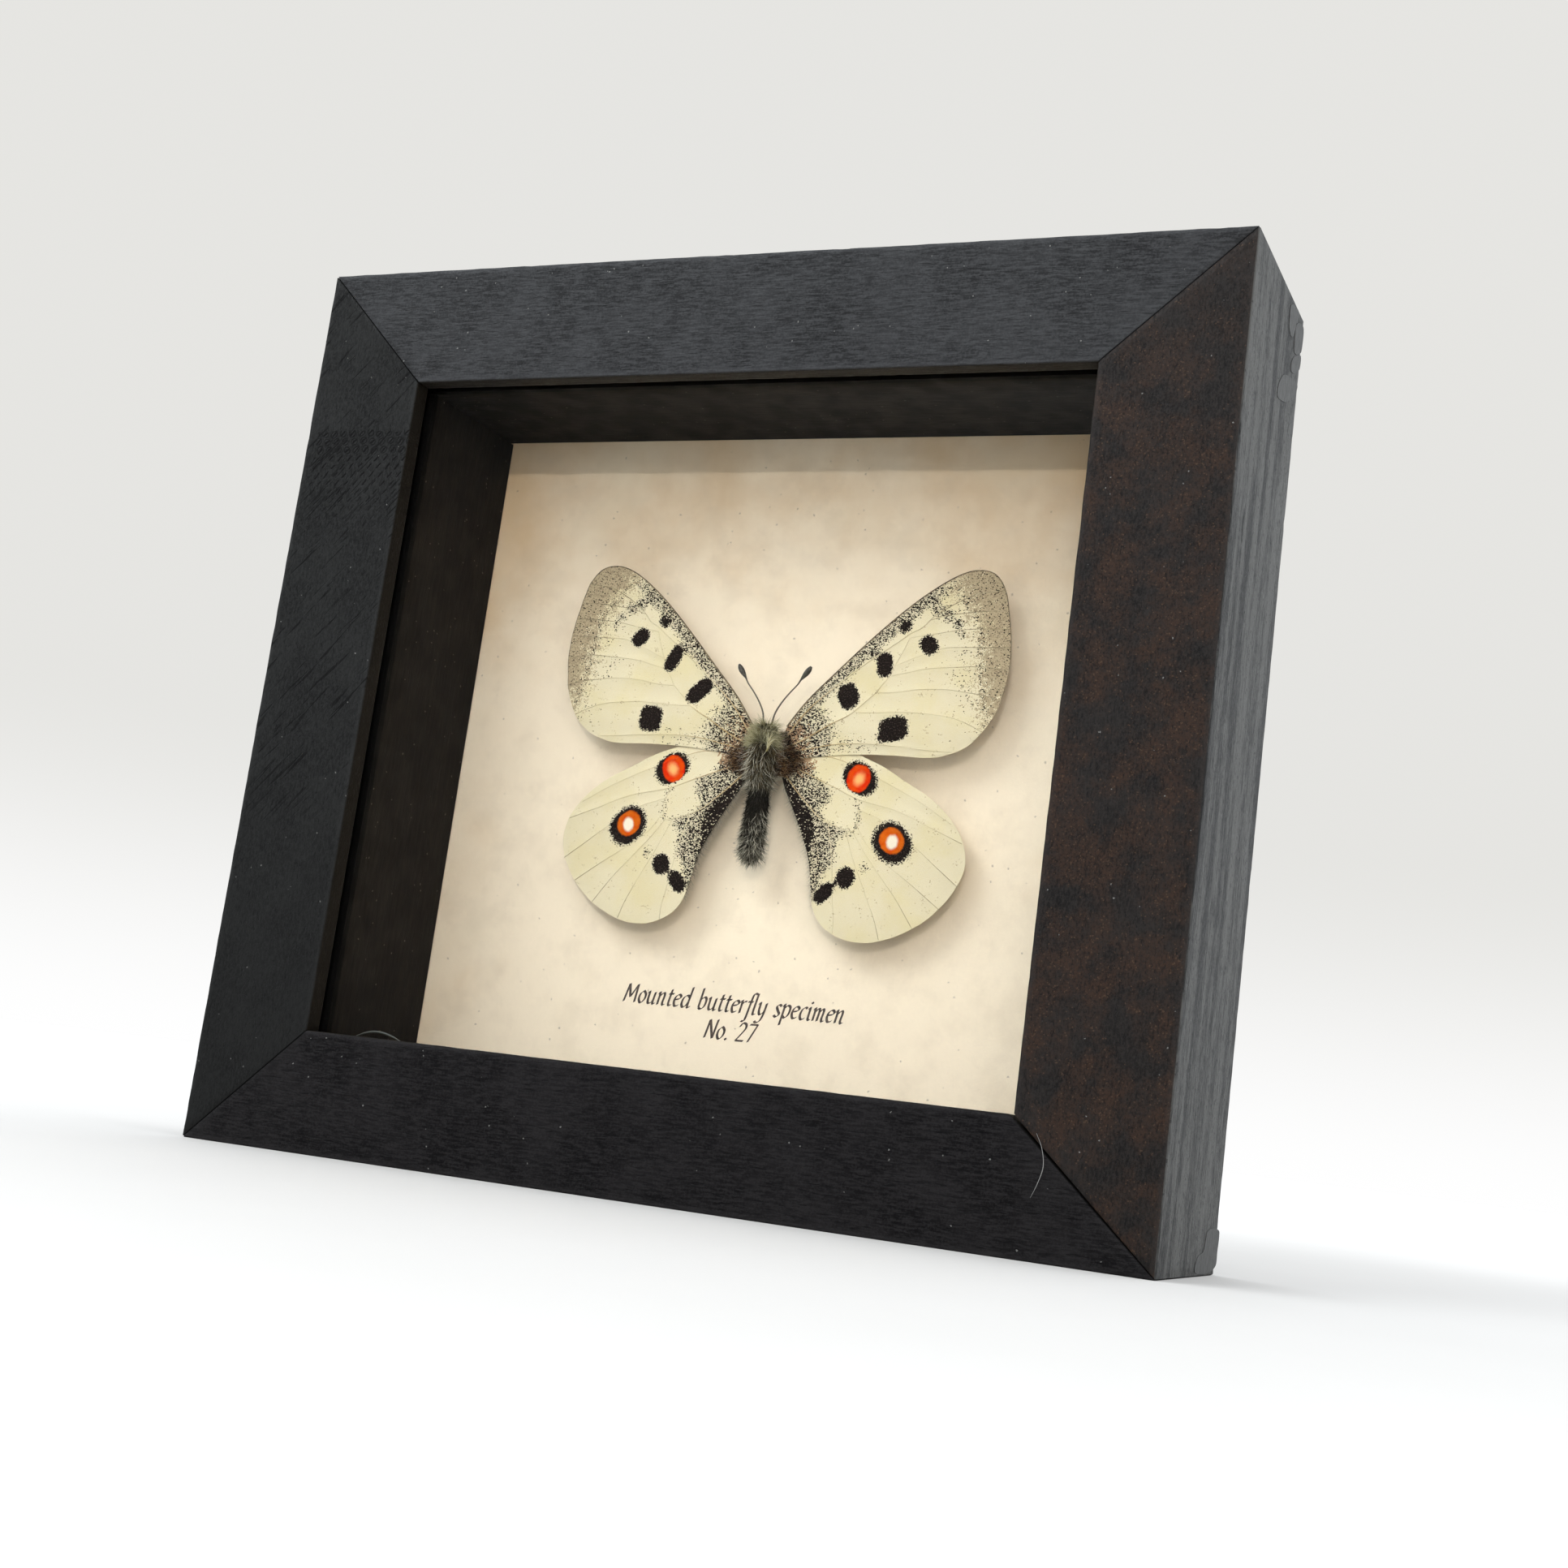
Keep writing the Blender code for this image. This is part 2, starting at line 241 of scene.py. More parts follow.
# %% Shared effect: specks
specks, taken, given = effect(
    "specks",
    [("Place", "Vector", (0, 0, 0)), ("Share", "Float", 0.1), ("Size", "Float", 0.2)],
    [("Speck", "Float"), ("Chance", "Float")],
)
cells = specks.nodes.new("ShaderNodeTexVoronoi")
feed(specks, cells.inputs["Vector"], taken["Place"])
feed(specks, cells.inputs["Scale"], calc(specks, "DIVIDE", 1.0, taken["Size"]))
chance = add(specks, "ShaderNodeSeparateColor", None, Color=cells.outputs["Color"])
feed(specks, given["Speck"], calc(specks, "LESS_THAN", chance, taken["Share"]))
feed(specks, given["Chance"], chance)

# %% [markdown]
# The black marks on the wings are ovals that lie at a slant, with a frayed edge. This group measures how
# far a point is from an oval's middle, where 1 is its rim, and turns that into a share of dark scales: full
# inside, none outside, and a short fray between. The place that it takes is shaken by noise first, so no
# mark is a clean oval.

# %% Shared effect: a slanting oval mark
oval, taken, given = effect(
    "oval_mark",
    [("Place", "Vector", (0, 0, 0)), ("Middle", "Vector", (0, 0, 0)), ("Half Size", "Vector", (1, 1, 1)),
     ("Slant", "Float", 0.0), ("Corner", "Float", 2.0), ("Fray", "Float", 0.1)],
    [("Share", "Float")],
)
offset = vcalc(oval, "SUBTRACT", taken["Place"], taken["Middle"])
turned = add(oval, "ShaderNodeVectorRotate", {"rotation_type": "Z_AXIS"}, Vector=offset, Angle=taken["Slant"])
parts = axes(oval, vcalc(oval, "ABSOLUTE", vcalc(oval, "DIVIDE", turned, taken["Half Size"])))
powers = [calc(oval, "POWER", parts[i], taken["Corner"]) for i in (0, 1)]
rim = calc(oval, "POWER", calc(oval, "ADD", *powers), calc(oval, "DIVIDE", 1.0, taken["Corner"]))
inner = calc(oval, "SUBTRACT", 1.0, taken["Fray"])
outer = calc(oval, "ADD", 1.0, taken["Fray"])
feed(oval, given["Share"], fade(oval, rim, outer, inner))
print("shared effects:", [g.name for g in bpy.data.node_groups])

# %% [markdown]
# Every finished piece is a mesh whose object sits at the origin, like the CAD's own nodes, and rides on the
# one body of this object. One helper makes a mesh from points in millimetres, another says what the piece
# stands for.


# %% Helpers for pieces
def mesh_object(name, points, faces, material, smooth=True, edges=()):
    mesh = bpy.data.meshes.new(name)
    mesh.from_pydata([tuple(float(v) * MM for v in p) for p in points], list(edges),
                     [tuple(f) for f in faces])
    mesh.update()
    if smooth:
        mesh.shade_smooth()
    piece = bpy.data.objects.new(name, mesh)
    bpy.context.scene.collection.objects.link(piece)
    if material:
        mesh.materials.append(material)
    return piece


def keep(piece, slot, *stands_for):
    """The piece rides on the object and stands for CAD nodes, which are hidden; the slot is not used."""
    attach(piece, "root")
    if stands_for:
        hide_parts(*stands_for)
    triangles = sum(len(p.vertices) - 2 for p in piece.data.polygons)
    print(f"{piece.name}: {triangles} triangles")


def paint(piece, name, values):
    """Keep a number for each vertex, for a finish to read."""
    numbers = np.asarray(values, np.float32)
    piece.data.attributes.new(name, "FLOAT", "POINT").data.foreach_set("value", numbers)


def worked(piece, work):
    """Do one job on a piece's mesh."""
    shape = bmesh.new()
    shape.from_mesh(piece.data)
    work(shape)
    shape.to_mesh(piece.data)
    shape.free()


def face_outwards(shape):
    bmesh.ops.recalc_face_normals(shape, faces=shape.faces)


def cut_big_faces(shape):
    """Cut faces of more than four corners into triangles."""
    bmesh.ops.triangulate(shape, faces=[f for f in shape.faces if len(f.verts) > 4])


def clad(node, material):
    """Give a CAD node, whose shape is right, its finish."""
    mesh = nodes[node].data
    mesh.materials.clear()
    mesh.materials.append(material)


# %% Helpers for smooth paths
def smooth_path(points, per_span, closed=False):
    """Points on a Catmull-Rom curve through the given ones."""
    corners = [np.array(p, float) for p in points]
    if not closed:
        corners = [2 * corners[0] - corners[1], *corners, 2 * corners[-1] - corners[-2]]
    count = len(corners)
    spans = range(count) if closed else range(1, count - 2)
    curve = []
    for i in spans:
        before, start, end, after = (corners[(i + k) % count] for k in (-1, 0, 1, 2))
        for k in range(per_span):
            t = k / per_span
            curve.append(0.5 * (2 * start + (end - before) * t
                                + (2 * before - 5 * start + 4 * end - after) * t * t
                                + (3 * start - before - 3 * end + after) * t ** 3))
    if not closed:
        curve.append(corners[-2])
    return np.array(curve)


def distance(points, path):
    """How far each point is from a path of straight pieces."""
    points = np.asarray(points, float)[:, None, :]
    start, run = np.asarray(path[:-1])[None], np.diff(np.asarray(path), axis=0)[None]
    t = np.clip(((points - start) * run).sum(2) / np.maximum((run * run).sum(2), 1e-12), 0, 1)
    return np.sqrt((((start + t[..., None] * run) - points) ** 2).sum(2)).min(1)


def inside(points, outline):
    """Which points lie inside a closed outline."""
    points, a = np.asarray(points, float), np.asarray(outline, float)
    b = np.roll(a, -1, axis=0)
    x, y = points[:, :1], points[:, 1:2]
    crosses = (a[:, 1] > y) != (b[:, 1] > y)
    rise = np.where(np.abs(b[:, 1] - a[:, 1]) < 1e-12, 1e-12, b[:, 1] - a[:, 1])
    return ((crosses & (x < a[:, 0] + (y - a[:, 1]) * (b[:, 0] - a[:, 0]) / rise)).sum(1) % 2) == 1


def within(points, outline, soft):
    """1 well inside an outline and 0 outside, easing over a soft border this wide."""
    closed = np.vstack([outline, outline[:1]])
    signed = distance(points, closed) * np.where(inside(points, outline), 1, -1)
    return ease(signed, -soft / 2, soft / 2)


def ease(value, start, end):
    t = np.clip((np.asarray(value, float) - start) / (end - start), 0, 1)
    return t * t * (3 - 2 * t)


# %% [markdown]
# ## The wooden rails
# Black stain on fine-grained wood is nearly matt. Seen close it has short fibres a fifth of a millimetre
# thick, dark pores, rusty patches and flecks on the right rail, and on the left rail the slanting dashes
# and scratches of a planer. The right flank is painted paler and streaked, as painted sheen of light grazing
# it, with one chip. The grain runs along each rail, so the upright rails and the level ones get the same
# finish with the grain turned, though the top rail is coloured paler and bluer as painted sheen, the bottom
# rail darker as painted shade, and the left rail darker towards its foot as painted shade. Inside the rabbet
# the wood is painted near black as shade, and the lip's inner face brown-black.


# %% Finish: marks of the planer, and the flank's painted sheen
DENT_ROW, DASH_PITCH = 1.5, 1.9
DASH_LEAN = (0.77, 0.64)
DASH_HALF_WIDTH, DASH_HALF_LENGTH = (0.24, 0.1), (0.75, 0.5)
LOOP_RADIUS, LOOP_HALF_WIDTH = 0.62, (0.2, 0.08)
SCRATCH_SLANT = math.radians(48)
SCRATCHED_ABOVE = (42.0, 66.0)
PLANED_FROM = -80.4
CHIP_MIDDLE, CHIP_SIZE = (-10.8, 107.5, 0), (0.45, 2.6, 1.0)
FLANK_START = (82.2, 82.42)


def planer_marks(tree, place, top, bottom):
    """Rows of slanting dents between two heights, loops along the upper end, and long scratches below."""
    parts = axes(tree, place)
    height = parts[2]
    row = calc(tree, "ADD", calc(tree, "DIVIDE", height, DENT_ROW), cloud(tree, place, 3.0))
    column = calc(tree, "ADD", calc(tree, "DIVIDE", parts[0], DASH_PITCH),
                  times(tree, calc(tree, "FLOOR", row), 0.37))
    right = times(tree, calc(tree, "SUBTRACT", calc(tree, "FRACT", column), 0.5), DASH_PITCH)
    rise = times(tree, calc(tree, "SUBTRACT", calc(tree, "FRACT", row), 0.5), DENT_ROW)
    across = calc(tree, "ABSOLUTE", calc(tree, "SUBTRACT", times(tree, right, DASH_LEAN[0]),
                                         times(tree, rise, DASH_LEAN[1])))
    along = calc(tree, "ABSOLUTE", calc(tree, "ADD", times(tree, right, DASH_LEAN[1]),
                                        times(tree, rise, DASH_LEAN[0])))
    dash = times(tree, fade(tree, across, *DASH_HALF_WIDTH), fade(tree, along, *DASH_HALF_LENGTH))
    round_off = calc(tree, "SQRT", calc(tree, "ADD", times(tree, right, right), times(tree, rise, rise)))
    off_loop = calc(tree, "ABSOLUTE", calc(tree, "SUBTRACT", round_off, LOOP_RADIUS))
    loop = fade(tree, off_loop, *LOOP_HALF_WIDTH)
    loops = times(tree, loop, fade(tree, height, top - 5.5, top - 3.5, 0.0, 0.65))
    uneven_top = calc(tree, "MULTIPLY_ADD", cloud(tree, place, 2.0), 1.6, top - 0.8)
    zone = times(tree, fade(tree, height, bottom, top - 5.0), calc(tree, "LESS_THAN", height, uneven_top))
    zone = times(tree, zone, calc(tree, "GREATER_THAN", parts[0], PLANED_FROM))
    dents = times(tree, calc(tree, "MAXIMUM", dash, loops), zone)
    slant = add(tree, "ShaderNodeVectorRotate", {"rotation_type": "Y_AXIS"}, Vector=place,
                Angle=SCRATCH_SLANT)
    scratch = fade(tree, cloud(tree, slant, 0.6, detail=2.0, stretch=(0.07, 1.0, 1.0)), 0.58, 0.66)
    patch = fade(tree, cloud(tree, place, 9.0), 0.4, 0.5)
    patch = times(tree, patch, fade(tree, height, *SCRATCHED_ABOVE, 0.0, 0.8))
    return calc(tree, "MAXIMUM", dents, times(tree, scratch, patch))


def flank_sheen_and_chip(tree, place, tone):
    """The right flank: painted sheen, long pale and dark streaks on grey, and one dark chip by the front
    edge.
    """
    parts = axes(tree, place)
    streaks = cloud(tree, place, 0.5, detail=4.0, roughness=0.75, stretch=(1.0, 1.0, 0.12))
    broad = cloud(tree, place, 3.5, detail=2.0, stretch=(1.0, 1.0, 0.08))
    both = calc(tree, "MULTIPLY_ADD", calc(tree, "SUBTRACT", broad, 0.5), 0.8, streaks)
    # Painted sheen: the grey streaks stand for light grazing the flank; the pits and the chip are real marks.
    grey = mixed(tree, fade(tree, both, 0.36, 0.64), (0.018, 0.018, 0.0182), (0.088, 0.0875, 0.084))
    pits = use(tree, specks, Place=place, Share=0.05, Size=0.45)["Speck"]
    grey = mixed(tree, times(tree, pits, 0.55), grey, (0.012, 0.012, 0.013))
    flat = tree.nodes.new("ShaderNodeCombineXYZ")
    wobble = times(tree, cloud(tree, place, 1.2), 0.8)
    feed(tree, flat.inputs[0], calc(tree, "ADD", parts[1], wobble))
    feed(tree, flat.inputs[1], parts[2])
    chip = use(tree, oval, Place=flat.outputs[0], Middle=CHIP_MIDDLE, Half_Size=CHIP_SIZE, Corner=2.4,
               Fray=0.25)["Share"]
    grey = mixed(tree, chip, grey, (0.006, 0.006, 0.006))
    return mixed(tree, fade(tree, parts[0], *FLANK_START), tone, grey)


# %% Finish: black-stained wood
def stained_wood(name, stretch, dark, pale, warm, warm_share, marks=None, flank=False, sheen=0.12):
    material, tree, shader = finish(name, IOR=1.48, Specular_IOR_Level=sheen)
    place = place_mm(tree)
    wood = use(tree, grain, Place=place, Stretch=stretch)
    crumbs = cloud(tree, place, 0.3, detail=3.0, roughness=0.75)
    fibre = cloud(tree, place, 0.4, detail=4.0, roughness=0.7, stretch=stretch)
    fibre = calc(tree, "MULTIPLY_ADD", calc(tree, "SUBTRACT", crumbs, 0.5), 0.8, fibre)
    tone = mixed(tree, fade(tree, fibre, 0.34, 0.68), dark, pale)
    patch = cloud(tree, place, 10.0, detail=4.0, roughness=0.6)
    tone = mixed(tree, fade(tree, patch, 0.38, 0.65, 0.0, 0.4), tone, tuple(c * 1.25 for c in pale))
    height = vcalc(tree, "DOT_PRODUCT", place, (0, 0, 1), output=1)
    brown = fade(tree, cloud(tree, place, 9.0, detail=5.0, roughness=0.65), 0.4, 0.62)
    brown = times(tree, brown, fade(tree, height, 112.0, 145.0, warm_share, 0.4 * warm_share))
    tone = mixed(tree, times(tree, brown, fade(tree, crumbs, 0.35, 0.6, 0.25, 1.0)), tone, warm)
    fleck = use(tree, specks, Place=place, Share=times(tree, brown, 0.06), Size=0.19)["Speck"]
    tone = mixed(tree, times(tree, fleck, 0.4), tone, (0.1, 0.06, 0.035))
    dust = use(tree, specks, Place=place, Share=0.0005, Size=0.2)["Speck"]
    tone = mixed(tree, times(tree, dust, 0.7), tone, (0.22, 0.22, 0.21))
    tone = mixed(tree, times(tree, wood["Pore"], 0.5), tone, (0.003, 0.003, 0.0035))
    tone = mixed(tree, times(tree, attribute(tree, "edge"), 0.3), tone, tuple(c * 2.0 for c in pale))
    rise = wood["Height"]
    if marks:
        # Painted shade: the left rail is coloured darker towards its foot.
        tone = mixed(tree, fade(tree, height, 10.0, 90.0, 0.45, 0.0), tone, dark)
        dents = planer_marks(tree, place, *marks)
        tone = mixed(tree, times(tree, dents, 0.9), tone, (0.0015, 0.0014, 0.0015))
        rise = calc(tree, "MULTIPLY_ADD", dents, -1.2, rise)
    if flank:
        tone = flank_sheen_and_chip(tree, place, tone)
    # Painted shade: the lip's inner face is tinted brown-black, and the rabbet's recess near black.
    shade = attribute(tree, "shade")
    tone = mixed(tree, fade(tree, shade, 0.0, 0.5), tone, (0.011, 0.0088, 0.0062))
    tint(tree, shader, mixed(tree, fade(tree, shade, 0.5, 1.0), tone, (0.0012, 0.0012, 0.0012)))
    feed(tree, shader.inputs["Roughness"], fade(tree, fibre, 0.3, 0.7, 0.66, 0.5))
    relief(tree, shader, rise, 0.07)
    return material


LEVEL, UPRIGHT = (0.14, 1.0, 1.0), (1.0, 1.0, 0.14)
# Painted light: one wood in four copies; the top rail's colours are paler and bluer as painted sheen, the
# bottom rail's darker as painted shade.
wood = {
    "top": stained_wood("black_wood_top", LEVEL, (0.006, 0.0062, 0.0072), (0.031, 0.032, 0.0345),
                        (0.03, 0.025, 0.02), 0.0, sheen=0.2),
    "bottom": stained_wood("black_wood_bottom", LEVEL, (0.0036, 0.0034, 0.0038), (0.0165, 0.0155, 0.0162),
                           (0.014, 0.011, 0.01), 0.0, sheen=0.06),
    "left": stained_wood("black_wood_left", (1.0, 1.0, 0.35), (0.0075, 0.0077, 0.0077),
                         (0.0175, 0.018, 0.0178), (0.018, 0.015, 0.013), 0.0, marks=(122.0, 98.0),
                         sheen=0.08),
    "right": stained_wood("black_wood_right", (1.0, 1.0, 0.4), (0.0062, 0.0057, 0.0056),
                          (0.0185, 0.016, 0.015), (0.036, 0.0195, 0.0128), 0.95, flank=True),
}
print("wood finishes:", [m.name for m in wood.values()])

# %% [markdown]
# Each rail is one L-shaped moulding, mitred at both ends. It could be a CAD block with a bevel, but real
# edges are eased by sandpaper and a little uneven. So the section is drawn with rounded corners and carried
# along the rail in many steps, and noise shakes each step slightly. The steps lean at the ends, which makes
# the mitres.

# %% Sizes of the rails
EDGE_ROUND = 0.35
ROUND_STEPS = (0, 0.33, 0.67, 1)
SHARP_EDGE = math.radians(50)
RAIL_STEPS = 110
MITRE_GAP = 0.09
OPEN_MITRE = 0.6
MITRE_EASE = 0.14
EDGE_SHAKE, EDGE_NICK = 0.05, 0.5
FRONT_PART = 5.0


def eased_section(width):
    """The rail's section, its corners rounded: (inward, back, nearness to an edge, painted shade)."""
    inner = width - RABBET_WIDTH
    corners = [(0, 0), (width, 0), (width, LIP_THICKNESS), (inner, LIP_THICKNESS), (inner, RAIL_DEPTH),
               (0, RAIL_DEPTH)]
    section = []
    shades = [(0, 0), (0, 0.5), (0.5, 1), (1, 1), (1, 0), (0, 0)]
    for i, corner in enumerate(corners):
        corner = np.array(corner, float)
        ways = [np.array(corners[(i + k) % 6], float) - corner for k in (-1, 1)]
        before, after = (corner + w / np.linalg.norm(w) * EDGE_ROUND for w in ways)
        guards = [corner + w / np.linalg.norm(w) * EDGE_ROUND * 3 for w in ways]
        section.append((*guards[0], 0.0, shades[i][0]))
        for t in ROUND_STEPS:
            spot = (1 - t) ** 2 * before + 2 * t * (1 - t) * corner + t * t * after
            section.append((*spot, 1.0, shades[i][0] * (1 - t) + shades[i][1] * t))
        section.append((*guards[1], 0.0, shades[i][1]))
    return np.array(section)


# %% Carry the section along a rail
def rail(side):
    width = RAIL_WIDTH[side]
    section = eased_section(width)
    middle = section[:, :2].mean(0)
    upright = side in ("left", "right")
    length = HEIGHT if upright else WIDTH
    ends = ("bottom", "top") if upright else ("left", "right")
    stops = [0.0, MITRE_EASE / length, *np.linspace(0.01, 0.99, RAIL_STEPS), 1 - MITRE_EASE / length, 1.0]
    points, nearness, shade = [], [], []
    for number, share in enumerate(stops):
        tucked = MITRE_EASE if number in (0, len(stops) - 1) else 0.0
        for inward, back, edge, shaded in section:
            pull = (middle - (inward, back)) * tucked / max(1.0, np.linalg.norm(middle - (inward, back)))
            inward, back = inward + pull[0], back + pull[1]
            opened = OPEN_MITRE if side == "bottom" else 0.0
            start = inward * RAIL_WIDTH[ends[0]] / width + MITRE_GAP
            stop = length - inward * RAIL_WIDTH[ends[1]] / width - MITRE_GAP - opened * inward / width
            run = start + (stop - start) * share
            seed = Vector((run * 0.35, inward * 2 + 31 * list(RAIL_WIDTH).index(side), back * 2))
            nick = EDGE_NICK * edge * max(0.0, noise.noise(seed * 1.7) - 0.42)
            shake = EDGE_SHAKE * edge * noise.noise(seed) - nick
            inward += shake if inward > width / 2 else -shake
            back -= shake if back < FRONT_PART else -shake
            if upright:
                x = inward - WIDTH / 2 if side == "left" else WIDTH / 2 - inward
                points.append((x, depth(back), run))
            else:
                points.append((run - WIDTH / 2, depth(back), HEIGHT - inward if side == "top" else inward))
            nearness.append(edge * (1 - shaded))
            shade.append(shaded)
    count = len(section)
    faces = [
        (row * count + i, row * count + (i + 1) % count,
         (row + 1) * count + (i + 1) % count, (row + 1) * count + i)
        for row in range(len(stops) - 1) for i in range(count)
    ]
    faces += [tuple(range(count)), tuple(range(len(points) - count, len(points)))]
    piece = mesh_object(f"rail_{side}", points, faces, wood[side])
    worked(piece, cut_big_faces)
    worked(piece, face_outwards)
    piece.data.set_sharp_from_angle(angle=SHARP_EDGE)
    paint(piece, "edge", nearness)
    paint(piece, "shade", shade)
    return piece


for side in RAIL_WIDTH:
    keep(rail(side), "black_stained_wood", f"frame_{side}")

# %% [markdown]
# ## Inside the box
# The strips that hold the glass off the card are painted brown-black and stand in deep shade. Their shape
# is right as it is in the CAD, so they only need a dull paint over faint grain. Their ends by the glass are
# coloured black as painted shade of the recess behind the lip.


# %% Finish: painted strips
def strip_paint(name, stretch):
    material, tree, shader = finish(name, IOR=1.45, Specular_IOR_Level=0.1)
    place = place_mm(tree)
    wood_below = use(tree, grain, Place=place, Stretch=stretch)
    tone = mixed(tree, fade(tree, wood_below["Streak"], 0.3, 0.75), (0.008, 0.0065, 0.005),
                 (0.016, 0.013, 0.01))
    dust = use(tree, specks, Place=place, Share=0.002, Size=0.25)["Speck"]
    tone = mixed(tree, times(tree, dust, 0.4), tone, (0.2, 0.18, 0.15))
    back = vcalc(tree, "DOT_PRODUCT", place, (0, 1, 0), output=1)
    # Painted shade: the strips' front ends by the glass are coloured near black.
    shaded_front_end = fade(tree, calc(tree, "MULTIPLY_ADD", cloud(tree, place, 2.0), 0.5, back), -10.1, -10.3)
    tint(tree, shader, mixed(tree, shaded_front_end, tone, (0.0008, 0.0008, 0.0008)))
    feed(tree, shader.inputs["Roughness"], fade(tree, cloud(tree, place, 5.0), 0.3, 0.7, 0.6, 0.8))
    relief(tree, shader, wood_below["Height"], 0.05)
    return material


level_paint = strip_paint("strip_paint_level", LEVEL)
upright_paint = strip_paint("strip_paint_upright", UPRIGHT)
for side in RAIL_WIDTH:
    clad(f"spacer_{side}", upright_paint if side in ("left", "right") else level_paint)

# %% [markdown]
# The card is printed like old parchment: pale in the middle, tan towards the rim and darkest in the top
# corners, with soft clouds and a fine paper tooth. The rim's darkening is a distance from the pale middle,
# bent by noise, so no picture is needed.

# %% Finish: mottled cream card
PALE_MIDDLE = (1.0, 0.0, 42.0)
PALE_REACH = (1 / 87.0, 0.0, 1 / 91.0)
card, tree, shader = finish("mottled_card", Roughness=0.9, IOR=1.4)
place = place_mm(tree)
span = vcalc(tree, "MULTIPLY", vcalc(tree, "SUBTRACT", place, PALE_MIDDLE), PALE_REACH)
rim = vcalc(tree, "LENGTH", span, output=1)
clouds = cloud(tree, place, 26.0, detail=5.0, roughness=0.62)
rim = calc(tree, "MULTIPLY_ADD", calc(tree, "SUBTRACT", clouds, 0.5), 1.1, rim)
tone = mixed(tree, fade(tree, rim, 0.55, 1.25), (0.91, 0.79, 0.612), (0.67, 0.485, 0.285))
mottle = cloud(tree, place, 5.5, detail=4.0, roughness=0.6)
tone = mixed(tree, fade(tree, mottle, 0.42, 0.72, 0.0, 0.25), tone, (0.6, 0.5, 0.37))
warm = cloud(tree, place, 15.0, detail=2.0)
tone = mixed(tree, fade(tree, warm, 0.5, 0.75, 0.0, 0.3), tone, (0.84, 0.74, 0.56))
tooth = cloud(tree, place, 0.35, detail=3.0, roughness=0.7)
tone = mixed(tree, fade(tree, tooth, 0.3, 0.7, 0.0, 0.08), tone, (0.45, 0.4, 0.32))
dirt = use(tree, specks, Place=place, Share=0.0012, Size=0.3)["Speck"]
tint(tree, shader, mixed(tree, times(tree, dirt, 0.5), tone, (0.25, 0.2, 0.15)))
relief(tree, shader, tooth, 0.025)
clad("specimen_card", card)

# %% [markdown]
# The pane is ordinary float glass. A glass shader alone would cast a black shadow on the card, because
# Cycles lets little light through refraction. So a shadow ray passes through as if the pane were clear, and
# every other ray sees real glass.

# %% Finish: the pane
pane, tree, shader = finish("pane_glass", Roughness=0.0, IOR=1.45)
shader.inputs["Base Color"].default_value = (0.985, 0.995, 0.99, 1.0)
shader.inputs["Transmission Weight"].default_value = 1.0
clear = tree.nodes.new("ShaderNodeBsdfTransparent")
both = tree.nodes.new("ShaderNodeMixShader")
path = tree.nodes.new("ShaderNodeLightPath")
tree.links.new(path.outputs["Is Shadow Ray"], both.inputs[0])
tree.links.new(shader.outputs[0], both.inputs[1])
tree.links.new(clear.outputs[0], both.inputs[2])
tree.links.new(both.outputs[0], tree.nodes["Material Output"].inputs["Surface"])
clad("glass", pane)

# %% [markdown]
# ## The card's lettering
# Two lines are printed under the butterfly in a sloping hand. Plain words stand in for them here. Each
# letter is a few pen strokes; a broad nib held at a fixed slant makes them thick and thin, so every stroke
# is its path widened along that slant. The strokes overlap, and a constrained triangulation joins them into
# one clean sheet of ink.

